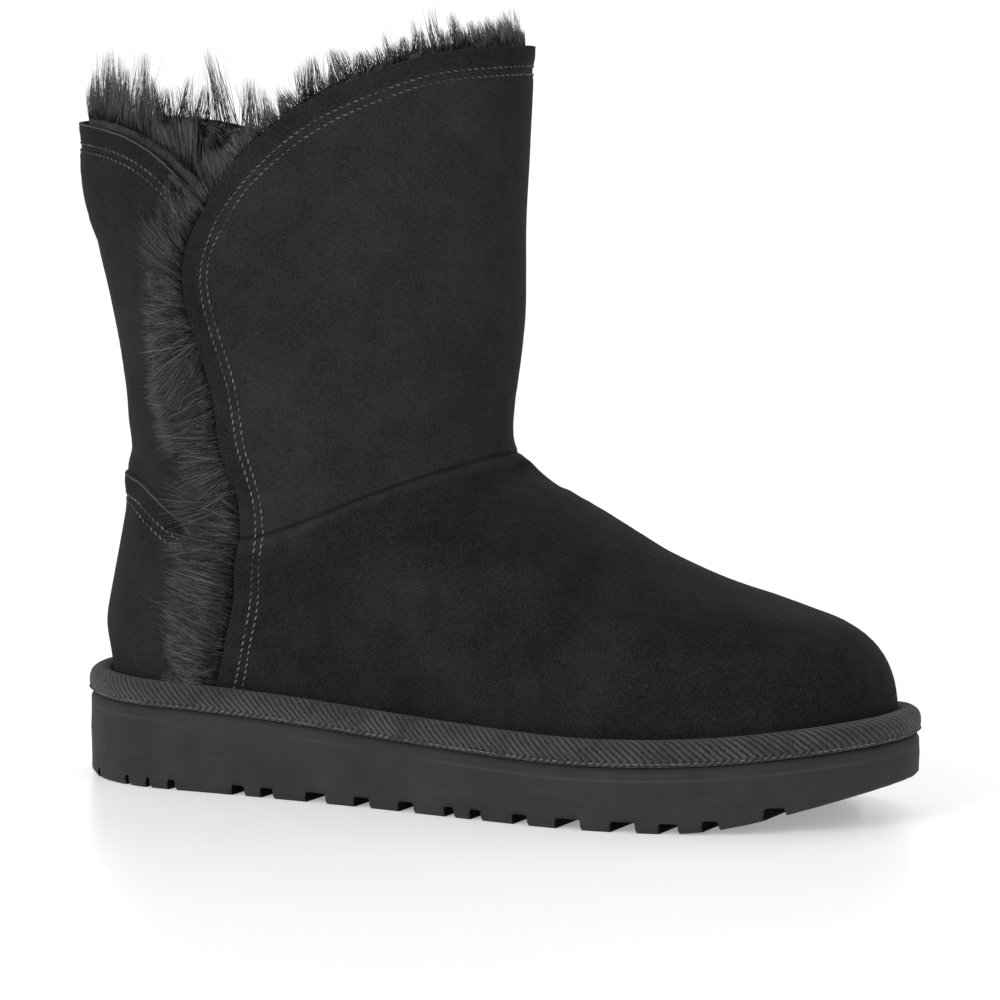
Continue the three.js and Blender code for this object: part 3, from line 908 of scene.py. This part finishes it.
def outermost(points):
    """Of points in close clusters seen from above, the outermost of each, ordered round the boot."""
    flat = points[:, :2]
    reach = np.linalg.norm(flat, axis=1)
    near = np.linalg.norm(flat[:, None] - flat[None], axis=2) < CLUSTER
    kept = points[reach >= np.where(near, reach[None], 0).max(axis=1) - 1e-9]
    return kept[np.argsort(np.arctan2(kept[:, 1], kept[:, 0]))]


def closed_curve(points, count):
    """A smooth closed line through the points, in that many even steps. It ends where it starts."""
    steps = 12
    around = np.concatenate([points[-2:], points, points[:3]])
    line = curve_through(around, steps)[2 * steps:(2 + len(points)) * steps + 1]
    return evenly(line, length_of(line) / (count + 1))[0]


def outward_of(path):
    """The level direction out of a closed path that runs anticlockwise, at each of its points."""
    loop = path[:-1]
    along = np.roll(loop, -1, axis=0) - np.roll(loop, 1, axis=0)
    out = np.c_[along[:, 1], -along[:, 0], np.zeros(len(loop))]
    out /= np.linalg.norm(out, axis=1)[:, None]
    return np.concatenate([out, out[:1]])


TAPE_STATIONS = 480
tape_ring = outermost(positions(merged("welt_binding")))
tape_path = closed_curve(tape_ring, TAPE_STATIONS)
tape_out = outward_of(tape_path)
print(f"tape: {len(tape_ring)} corners, {length_of(tape_path) / MM:.0f} mm round the boot")

# %% [markdown]
# The tape is a strip of herringbone twill, folded over the joint of upper and sole. A curve with a
# bevel could draw it, but the weave has to follow the strip. So a flat grid is rolled up: one way it
# goes round the boot, the other way round the tape's section, which is a few points of a rounded shape.
# The same grid, measured in millimetres, is the map that the weave is drawn on.

# %% Tape round the sole
RING_UP = 3.7  # the ring of outermost corners lies this far up the tape, and this far out
RING_OUT = 0.3
TAPE_SECTION = [  # millimetres out from the outline and up from the tape's lower edge
    (-0.9, 0.0), (0.0, 1.0), (0.35, 3.6), (-0.3, 6.0), (-2.4, 7.5), (-5.0, 7.3), (-6.6, 5.8),
    (-6.7, 2.5), (-6.5, 0.0), (-3.5, 0.0),
]
TAPE_CORNERS = 28
RIB_PITCH = 2.3  # of the twill, and where its herringbone turns back, both in millimetres
TURN_BACK = 2.3


def tape_finish():
    """Herringbone twill: slanting ribs that turn back half way up the tape."""
    finish = Finish("twill_tape", 0.85, Specular_IOR_Level=0.25, Sheen_Weight=0.1)
    place = {"Vector": finish.place(uv=True)}
    along = finish.node("ShaderNodeSeparateXYZ", inputs=place, output="X")
    across = finish.node("ShaderNodeSeparateXYZ", inputs=place, output="Y")
    wander = finish.noise(5 * MM, detail=2) * 0.9
    slant = abs(across - TURN_BACK) * 1.15
    ribs = ((along + slant + wander) * (2 * math.pi / RIB_PITCH)).sine()
    ridge = ribs * 0.5 + 0.5
    fibres = finish.noise(0.6 * MM, detail=3, roughness=0.8).between(0.3, 0.75)
    worn = finish.noise(9 * MM, detail=3).between(0.35, 0.7)
    shade = ridge * (worn * 0.5 + 0.3) + fibres * 0.65 - 0.2
    finish.set("Base Color", finish.mix(shade.clamped(), grey(0.002, -0.03), grey(0.084, -0.03)))
    finish.bump(ridge * 0.6 + fibres * 0.4, 0.6 * MM, 0.9)
    return finish.material


def tape():
    """A flat grid, rolled up round the boot and round the section, and joined where it meets itself."""
    bm = bmesh.new()
    bmesh.ops.create_grid(bm, x_segments=TAPE_STATIONS, y_segments=TAPE_CORNERS, size=0.5)
    grid = positions(bm)[:, :2] + 0.5
    section = closed_curve(np.array(TAPE_SECTION), TAPE_CORNERS)
    station = np.rint(grid[:, 0] * TAPE_STATIONS).astype(int)
    corner = np.rint(grid[:, 1] * TAPE_CORNERS).astype(int)
    out, up = (section[corner] * MM).T
    places = tape_path[station] + tape_out[station] * (out - RING_OUT * MM)[:, None]
    places[:, 2] += up - RING_UP * MM
    lengths = np.array([length_of(tape_path) / MM, length_of(section)])
    weave = bm.loops.layers.uv.new("weave")
    for face in bm.faces:
        for loop in face.loops:
            loop[weave].uv = grid[loop.vert.index] * lengths
    for vert, place in zip(bm.verts, places):
        vert.co = place
    bmesh.ops.remove_doubles(bm, verts=bm.verts, dist=0.02 * MM)
    bmesh.ops.recalc_face_normals(bm, faces=bm.faces)
    piece("welt_tape", to_mesh(bm), [tape_finish()], ["welt_binding"])
    print("tape section:", round(lengths[1], 1), "mm round")


tape()

# %% [markdown]
# The sole is one moulded piece of foam, matt and a little blotchy. The halves of its mould left a fine
# line round it, which comes and goes. The mesh stores how far below the sole's top each point is, so
# that the line follows the sole's curve however the side bends.

# %% Foam of the sole
PARTING_LINE = 3.6  # millimetres below the sole's top


def sole_finish(name, painted_shade_factor):
    """The foam at its full shade, which is 1, or darker as painted shade."""
    finish = Finish(name, 0.78, Specular_IOR_Level=0.3 * painted_shade_factor)
    blotches = finish.noise(14 * MM, detail=3)
    grain = finish.noise(0.7 * MM, detail=2, roughness=0.7)
    scuffs = finish.noise(7 * MM, detail=2, stretch=(0.5, 0.5, 3)).between(0.55, 0.75)
    depth = finish.attribute("below_top")
    parting = 1 - abs(depth - PARTING_LINE).between(0.25, 0.6)
    tread = finish.noise(2.2 * MM, detail=1).between(0.45, 0.6)
    shade = blotches.between(0.3, 0.7) * 0.45 + grain * 0.35 + scuffs * 0.2
    colour = finish.mix(shade, grey(0.011 * painted_shade_factor, 0.1), grey(0.029 * painted_shade_factor, 0.08))
    shown = parting * finish.noise(50 * MM, detail=1).between(0.42, 0.6)
    finish.set("Base Color", finish.mix(shown * 0.25, colour, grey(0.06)))
    finish.bump(grain * 0.5 + blotches * 0.4 - shown * 0.5 + tread * 0.1, 0.4 * MM, 0.6)
    return finish.material


# %% [markdown]
# The sole keeps the model's own shape, grooves and all. Only its outline is made rounder: the long
# edges of its sides are cut up, and each point there moves out from the model's straight facets to a
# smooth curve through their corners. A Subdivision Surface would be less work, but it would melt the
# edges of the lugs.

# %% Rounding the sole's side
SOLE_WALL = 3 * MM  # points this near the outline belong to the sole's side
LONG_EDGE = 4 * MM
FACET_STEPS = 24


def reach_by_angle(line):
    """A line round the boot as angles and distances from the origin, both in order of the angle."""
    angle = np.arctan2(line[:, 1], line[:, 0])
    order = np.argsort(angle)
    return angle[order], np.linalg.norm(line[order, :2], axis=1)


closed_ring = np.concatenate([tape_ring, tape_ring[:1]])
straight = np.concatenate([
    np.linspace(a, b, FACET_STEPS, endpoint=False) for a, b in zip(closed_ring, closed_ring[1:])
])


def beyond(points, line):
    """How far out the points lie from a line round the boot."""
    angles = np.arctan2(points[:, 1], points[:, 0])
    reach = np.interp(angles, *reach_by_angle(line), period=2 * math.pi)
    return np.linalg.norm(points[:, :2], axis=1) - reach


def round_outline(bm):
    """Moves the side's points out as far as the tape's smooth path leaves its straight facets."""
    bm.verts.index_update()
    wall = beyond(positions(bm), straight) > -SOLE_WALL
    long_edges = [
        edge for edge in bm.edges
        if edge.calc_length() > LONG_EDGE and all(wall[vert.index] for vert in edge.verts)
    ]
    bmesh.ops.subdivide_edges(bm, edges=long_edges, cuts=3)
    bmesh.ops.triangulate(bm, faces=bm.faces)
    points = positions(bm)
    from_straight = beyond(points, straight)
    gain = (from_straight - beyond(points, tape_path)) * (from_straight > -SOLE_WALL)
    flat = points * np.array([1, 1, 0])
    for vert, out, more in zip(bm.verts, unit(flat), gain):
        vert.co += Vector(out) * float(more)
    print(f"outsole: {len(long_edges)} long edges cut, side moved by up to {abs(gain).max() / MM:.2f} mm")


# %% [markdown]
# The faces inside the grooves get a darker foam, a painted shade, because grooves lie in shadow. They
# could be picked by hand, but a rule finds them again when the tread changes: they lie low, and they
# are either steep or a groove's ceiling, and they aren't part of the sole's side.

# %% Outsole
GROOVE_TOP = 4.5 * MM  # no groove is deeper than this
NEARBY = 5 * MM
SIDE_FACING = 0.15  # the least that a face of the side looks outwards, as a cosine
STEEP_BELOW = 0.8  # the most that a steep face looks up or down
LUG_EDGE = math.radians(32)


def in_groove(bm):
    """Which faces of the outsole line its grooves."""
    points = positions(bm)
    centres = np.array([face.calc_center_median() for face in bm.faces])
    normals = np.array([face.normal for face in bm.faces])
    lowest = np.array([points[abs(points[:, 0] - x) < NEARBY, 2].min() for x in centres[:, 0]])
    above = centres[:, 2] - lowest
    outward = (unit(centres * np.array([1, 1, 0])) * normals).sum(axis=1)
    side = (beyond(centres, straight) > -SOLE_WALL) & (outward > SIDE_FACING)
    steep = abs(normals[:, 2]) < STEEP_BELOW
    return ~side & (above < GROOVE_TOP) & (steep | (above > GROOVE_TOP / 2))


def outsole():
    bm = merged("outsole")
    round_outline(bm)
    bm.normal_update()
    grooved = in_groove(bm)
    for face, groove in zip(bm.faces, grooved):
        face.material_index = int(groove)
    print("groove faces:", grooved.sum())
    order = np.argsort(tape_ring[:, 0])
    points = positions(bm)
    top = np.interp(points[:, 0], tape_ring[order, 0], tape_ring[order, 2]) - (RING_UP + 0.3) * MM
    mesh = to_mesh(bm)
    mark(mesh, "below_top", (top - points[:, 2]) / MM)
    # the grooves' foam is darkened as painted shade
    materials = sole_finish("moulded_foam", 1), sole_finish("groove_painted_shade", 0.15)
    piece("foam_outsole", mesh, materials, ["outsole"])
    mesh.set_sharp_from_angle(angle=LUG_EDGE)


outsole()

# %% [markdown]
# Along the tape's lower edge runs one more row of stitches, which holds it to the sole. The tape is
# smooth there, so the row is the tape's own path moved down, and needs no search for the surface.

# %% Tape stitches
ROW_UP = 1.1  # millimetres from the tape's lower edge
ROW_SUNK = 0.05

row = tape_path - tape_out * ROW_SUNK * MM
row[:, 2] -= (RING_UP - ROW_UP) * MM
spots, along = evenly(row, STITCH_PITCH)
side = np.cross(np.array([0, 0, 1.0]), along)
frames = np.stack([along, side, np.cross(along, side), spots], axis=2)
piece("tape_stitches", copies(stitch_shape(), frames), [THREAD])
print("tape stitches:", len(frames))

# %% [markdown]
# Under the suede is the skin's own wool. Strands alone would have to be as many as on a sheep before
# nothing showed between them. So one closed body of fleece fills the space between the panels and the
# foot, stands up as a soft ridge inside the collar, and a thinner coat of strands grows from it.

# %% Fleece
UNDER_LEATHER = 3 * MM
COLLAR_LOW = 165 * MM  # the whole of the collar is above this
RIDGE_DROP = [(-96, 4.5), (-84, 2.5), (-70, 2.5), (-50, 4.5)]  # by x: how far the ridge is let down
SHAFT_X = -60 * MM  # the shaft's middle
CURLS = (9 * MM, 1.1 * MM)  # size and height


def fleece_body():
    """The model's upper, drawn in under the panels and let down at the collar, with curls inside."""
    bm = upper
    outside = {vert for face in flap_region | back_region for vert in face.verts}
    bm.normal_update()
    for vert in outside:
        vert.co -= vert.normal * UNDER_LEATHER
    drop_at, drop = np.array(RIDGE_DROP).T * MM
    for vert in bm.verts:
        if vert.co.z > COLLAR_LOW and vert.normal.z > 0.5 and vert not in outside:
            vert.co.z -= np.interp(vert.co.x, drop_at, drop)
    body = smoothed(bm, 1)
    body.normal_update()
    out = [Vector((vert.co.x - SHAFT_X, vert.co.y, 0)) for vert in body.verts]
    inner = np.array([vert.normal.dot(way) < 0 for vert, way in zip(body.verts, out)])
    raised(body, uneven(positions(body), *CURLS) * inner)
    return body


fleece = fleece_body()
piece("fleece_lining", to_mesh(fleece.copy()), [FLEECE])
print("fleece faces:", len(fleece.faces))

# %% [markdown]
# A strand of wool is a thin cone bent along a curve from its root, past a middle point, to its tip.
# Blender's hair would be easier, but only meshes can be kept with the model. One cone is made with
# operators, and bent thousands of times.

# %% Growing strands
STRAND_RADIUS = 0.1 * MM
PILE_RADIUS = 0.16 * MM  # thicker where the strands are fewer
TONE_SPREAD = 3.5  # the higher, the fewer the pale strands


def strand_shape(cuts):
    """A three-sided cone from 0 to 1 along Z, cut at some heights so that it can bend."""
    bm = bmesh.new()
    bmesh.ops.create_cone(bm, cap_ends=True, segments=3, radius1=1, radius2=0, depth=1)
    bmesh.ops.remove_doubles(bm, verts=bm.verts, dist=1e-5)
    bmesh.ops.translate(bm, verts=bm.verts, vec=(0, 0, 0.5))
    for height in cuts:
        whole = [*bm.verts, *bm.edges, *bm.faces]
        bmesh.ops.bisect_plane(bm, geom=whole, plane_co=(0, 0, height), plane_no=(0, 0, 1))
    return arrays_of(bm)


def grown(template, roots, middles, tips, radius, paleness=0.0):
    """Bends a copy of the template along each strand's curve, as one mesh with its tone."""
    points, triangles = template
    t = points[None, :, 2, None]
    roots, middles, tips = (place[:, None, :] for place in (roots, middles, tips))
    centre = (1 - t) ** 2 * roots + 2 * t * (1 - t) * middles + t**2 * tips
    along = unit(2 * (1 - t) * (middles - roots) + 2 * t * (tips - middles) + 1e-9)
    side = unit(np.cross(along, unit(chance.normal(size=roots.shape))))
    other = np.cross(along, side)
    thick = radius * chance.uniform(0.7, 1.2, (len(roots), 1, 1)) * (1 + 0.9 * t)
    places = centre + (points[None, :, 0, None] * side + points[None, :, 1, None] * other) * thick
    mesh = mesh_of(places, triangles)
    bright = chance.random((len(roots), 1)) ** TONE_SPREAD
    upward = t[0, :, 0]
    mark(mesh, "tone", paleness + bright * (0.3 + 0.7 * upward) + 0.1 * upward)
    return mesh


LONG_STRAND = strand_shape((0.36, 0.7))
SHORT_STRAND = strand_shape((0.5,))
print("faces of a long and a short strand:", len(LONG_STRAND[1]), len(SHORT_STRAND[1]))

# %% [markdown]
# Wool never stands as single hairs. Strands cling together in locks, and the locks are what an eye
# sees. So some strands are picked to lead, each of the others joins the nearest leader, and a lock
# shares its lean and its length and is gathered a little towards its leader's tip.

# %% Locks
UP = np.array([0, 0, 1.0])
STRAY = 0.13  # how far a strand strays from its lock's lean


def in_locks(roots, ways, lengths, members, spread, gather, spiky=False):
    """The tips of strands that lean together: members to a lock, spread between locks.

    In a spiky pile most locks are short, and a few stand out."""
    leaders = chance.choice(len(roots), size=len(roots) // members, replace=False)
    tree = KDTree(len(leaders))
    for index, leader in enumerate(leaders):
        tree.insert(roots[leader], index)
    tree.balance()
    lock = np.array([tree.find(root)[1] for root in roots])
    lean = chance.normal(0, spread, (len(leaders), 3))
    stretch = chance.uniform(0.55, 1.3, len(leaders))
    if spiky:
        stretch = 0.45 + 0.78 * chance.random(len(leaders)) ** 2
    lock_tips = roots[leaders] + unit(ways[leaders] + lean) * (lengths[leaders] * stretch)[:, None]
    reach = (lengths * stretch[lock] * chance.uniform(0.7, 1.05, len(roots)))[:, None]
    tips = roots + unit(ways + lean[lock] + chance.normal(0, STRAY, roots.shape)) * reach
    pull = gather * chance.uniform(0.2, 1, (len(roots), 1))
    return tips + (lock_tips[lock] - tips) * pull


def scattered(bm, chosen, count):
    """Random places spread evenly over the faces that pass a test, with their normals."""
    loops = [loops for loops in bm.calc_loop_triangles() if chosen(loops[0].face)]
    corners = np.array([[loop.vert.co for loop in triangle] for triangle in loops])
    normals = np.array([triangle[0].face.normal for triangle in loops])
    first, second = corners[:, 1] - corners[:, 0], corners[:, 2] - corners[:, 0]
    area = np.linalg.norm(np.cross(first, second), axis=1)
    pick = chance.choice(len(loops), size=count, p=area / area.sum())
    a, b = chance.random((2, count, 1))
    a, b = np.where(a + b > 1, 1 - a, a), np.where(a + b > 1, 1 - b, b)
    return corners[pick, 0] + a * first[pick] + b * second[pick], normals[pick]


# %% [markdown]
# Round the collar the wool stands up past the cut edge: long and spiky at the back, and shorter and
# leaning back along the flap. Inside, it is a deep pile that leans up and inward. How long it is and
# how it leans goes by x, in a table whose rows are blended, because the change is a slow one.

# %% Collar and lining
COLLAR = [  # by x: the wool's length, how far it leans out, and how far it leans back
    (-135, 23, 0.02, 0.0), (-112, 22, 0.06, 0.0), (-92, 20, 0.1, 0.1), (-72, 18, 0.2, 0.35),
    (-50, 15, 0.2, 0.35), (-20, 13, 0.2, 0.15), (1, 12, 0.15, 0.1), (11, 7, 0.1, 0.4),
]
COLLAR_STRANDS = 11500
LINING_STRANDS = 10000
LINING_LOW = 125 * MM
LINING_LENGTH = 8 * MM
LINING_X = -65 * MM  # the middle of the shaft's upper end


def collar_wool():
    def on_collar(face):
        return face.normal.z > 0.12 and face.calc_center_median().z > COLLAR_LOW

    roots, normals = scattered(fleece, on_collar, COLLAR_STRANDS)
    at, *columns = np.array(COLLAR).T
    length, out, back = (np.interp(roots[:, 0] / MM, at, column)[:, None] for column in columns)
    level = unit(normals * np.array([1, 1, 0]) + 1e-9)
    ways = UP + level * out - np.array([1, 0, 0]) * back
    lengths = length[:, 0] * MM
    tips = in_locks(roots, ways, lengths, members=36, spread=0.11, gather=0.85, spiky=True)
    middles = (roots + tips) / 2 + level * 0.6 * MM + chance.normal(0, 0.5 * MM, roots.shape)
    # a painted highlight: the collar's strands are painted a little paler
    strands = grown(LONG_STRAND, roots, middles, tips, STRAND_RADIUS, paleness=0.06)
    piece("collar_wool", strands, [STRAND])


collar_wool()


def lining_wool():
    def inner(face):
        centre = face.calc_center_median()
        out = Vector((centre.x - LINING_X, centre.y, 0))
        return centre.z > LINING_LOW and face.normal.z < 0.6 and face.normal.dot(out) < 0

    roots, normals = scattered(fleece, inner, LINING_STRANDS)
    ways = 0.75 * normals + 0.6 * UP
    lengths = np.full(len(roots), LINING_LENGTH)
    tips = in_locks(roots, ways, lengths, members=26, spread=0.35, gather=0.5)
    middles = (roots + tips) / 2 + normals * 1.2 * MM
    # painted light: the pile inside the shaft lies in shade, so its strands are painted much paler
    strands = grown(SHORT_STRAND, roots, middles, tips, PILE_RADIUS, paleness=0.85)
    piece("lining_wool", strands, [STRAND])


lining_wool()

# %% [markdown]
# The flap is cut from the same skin, so along its rear edge the wool under it spills out over the
# back and the counter. Strands that only followed the panel's normal would stand up like grass. So each
# is rooted at the edge or just behind it and combed backwards, and its tip is laid down on whatever
# surface is there. A table by height, blended between its rows, gives the fringe its own outline.

# %% Wool along the flap's seam
SEAM_STRANDS = 10000
SEAM_TIPS = [  # by a root's height: how far back the tip is, and how many degrees up it is combed
    (33, -92, -8), (44, -95, -4), (59, -91, 4), (67, -93, 0), (82, -91, 2), (105, -95, 0), (121, -102, -6),
    (133, -105, -12), (144, -101, 12), (153, -103, 22), (162, -96, 28), (169, -88, 32), (178, -80, 34),
]
NOTCH_TOP = 180 * MM
REAR_EDGE = -58 * MM  # the flap's rear edges lie behind this
ROOTS_FROM, ROOTS_TO = -1.5, 13.5  # millimetres behind the edge, most of them near it
STEP_REACH = 3 * MM  # strands rooted this near the edge come out of the step under it
SHORTEST = 6 * MM
TIPS_ABOVE = (0.5 * MM, 3 * MM)  # how far the tips stop above the panels
BOW = (1.5, 4.5)  # millimetres that the strands' middles are lifted
PAINTED_HIGHLIGHT_BELOW = ((30 * MM, 90 * MM), (0.1, 0.0))  # a painted highlight low on the fringe: between these heights, from this much to this much


def seam_wool(name, side, replaces):
    """The fringe on one side of the boot, which is -1 outside and 1 inside."""
    line, direction = evenly(flap_edge, 1 * MM)
    into = inward(line, direction, flap_surface)
    on_seam = (line[:, 1] * side > 0) & (line[:, 2] < NOTCH_TOP) & (line[:, 0] < REAR_EDGE)
    line, direction, backward = line[on_seam], direction[on_seam], -into[on_seam]
    direction *= np.sign(direction[:, 2:3])
    pick = chance.integers(0, len(line), SEAM_STRANDS)
    behind = (ROOTS_FROM + (ROOTS_TO - ROOTS_FROM) * chance.random(SEAM_STRANDS) ** 1.4) * MM
    scatter = chance.normal(0, 0.4 * MM, (SEAM_STRANDS, 3))
    roots, normals = heel_surface.onto(line[pick] + backward[pick] * behind[:, None] + scatter, 0.4 * MM)
    step = np.linalg.norm(line - heel_surface.onto(line)[0], axis=1)
    deep = step[pick] * chance.uniform(0, 1, SEAM_STRANDS) * (behind < STEP_REACH)
    roots += normals * deep[:, None]
    heights, tips_at, comb = np.array(SEAM_TIPS).T
    swirl = uneven(roots * np.array([0.3, 1, 1]), 11 * MM, 24) + uneven(roots, 3 * MM, 18)
    angle = np.radians(np.interp(roots[:, 2] / MM, heights, comb) + swirl)[:, None]
    ways = backward[pick] * np.cos(angle) + direction[pick] * np.sin(angle)
    reach = line[pick, 0] - np.interp(roots[:, 2] / MM, heights, tips_at) * MM
    ragged = 0.87 + uneven(roots * np.array([0.2, 1, 1]) + 0.3, 8 * MM, 0.3)
    lengths = np.maximum(reach * ragged - behind, SHORTEST)
    free = in_locks(roots, ways, lengths, members=24, spread=0.14, gather=0.5)
    laid, tip_normals = heel_surface.onto(free)
    tips = laid + tip_normals * chance.uniform(*TIPS_ABOVE, (SEAM_STRANDS, 1))
    middles = (roots + tips) / 2 + normals * chance.uniform(*BOW, (SEAM_STRANDS, 1)) * MM
    # painted highlight: the lower strands are painted paler
    paleness = np.interp(roots[:, 2:], *PAINTED_HIGHLIGHT_BELOW)
    strands = grown(LONG_STRAND, roots, middles, tips, STRAND_RADIUS, paleness)
    piece(name, strands, [STRAND], replaces)


seam_wool("seam_wool_outer", -1, ["wool_trim_outer"])
seam_wool("seam_wool_inner", 1, ["wool_trim_inner"])

# %% [markdown]
# The insole is a board covered with the same wool. Little of it shows, at the bottom of the shaft, so a
# short, thin pile over a lumpy body is enough.

# %% Insole
INSOLE_STRANDS = 4000
PILE_LENGTH = 5 * MM


def insole():
    body = smoothed(merged("insole"), 1)
    roots, normals = scattered(body, lambda face: face.normal.z > 0.5, INSOLE_STRANDS)
    raised(body, uneven(positions(body), 8 * MM, 0.6 * MM))
    piece("wool_insole", to_mesh(body), [FLEECE], ["insole"])
    tips = in_locks(roots, normals, np.full(len(roots), PILE_LENGTH), members=30, spread=0.5, gather=0.4)
    middles = (roots + tips) / 2
    piece("insole_wool", grown(SHORT_STRAND, roots, middles, tips, PILE_RADIUS), [STRAND])


insole()

# %% [markdown]
# Last, the triangles of every piece are counted.

# %% Triangles
depsgraph = bpy.context.evaluated_depsgraph_get()
total = 0
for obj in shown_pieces():
    mesh = obj.evaluated_get(depsgraph).to_mesh()
    mesh.calc_loop_triangles()
    total += len(mesh.loop_triangles)
    print(f"{obj.name}: {len(mesh.loop_triangles)} triangles")
print("triangles in all:", total)
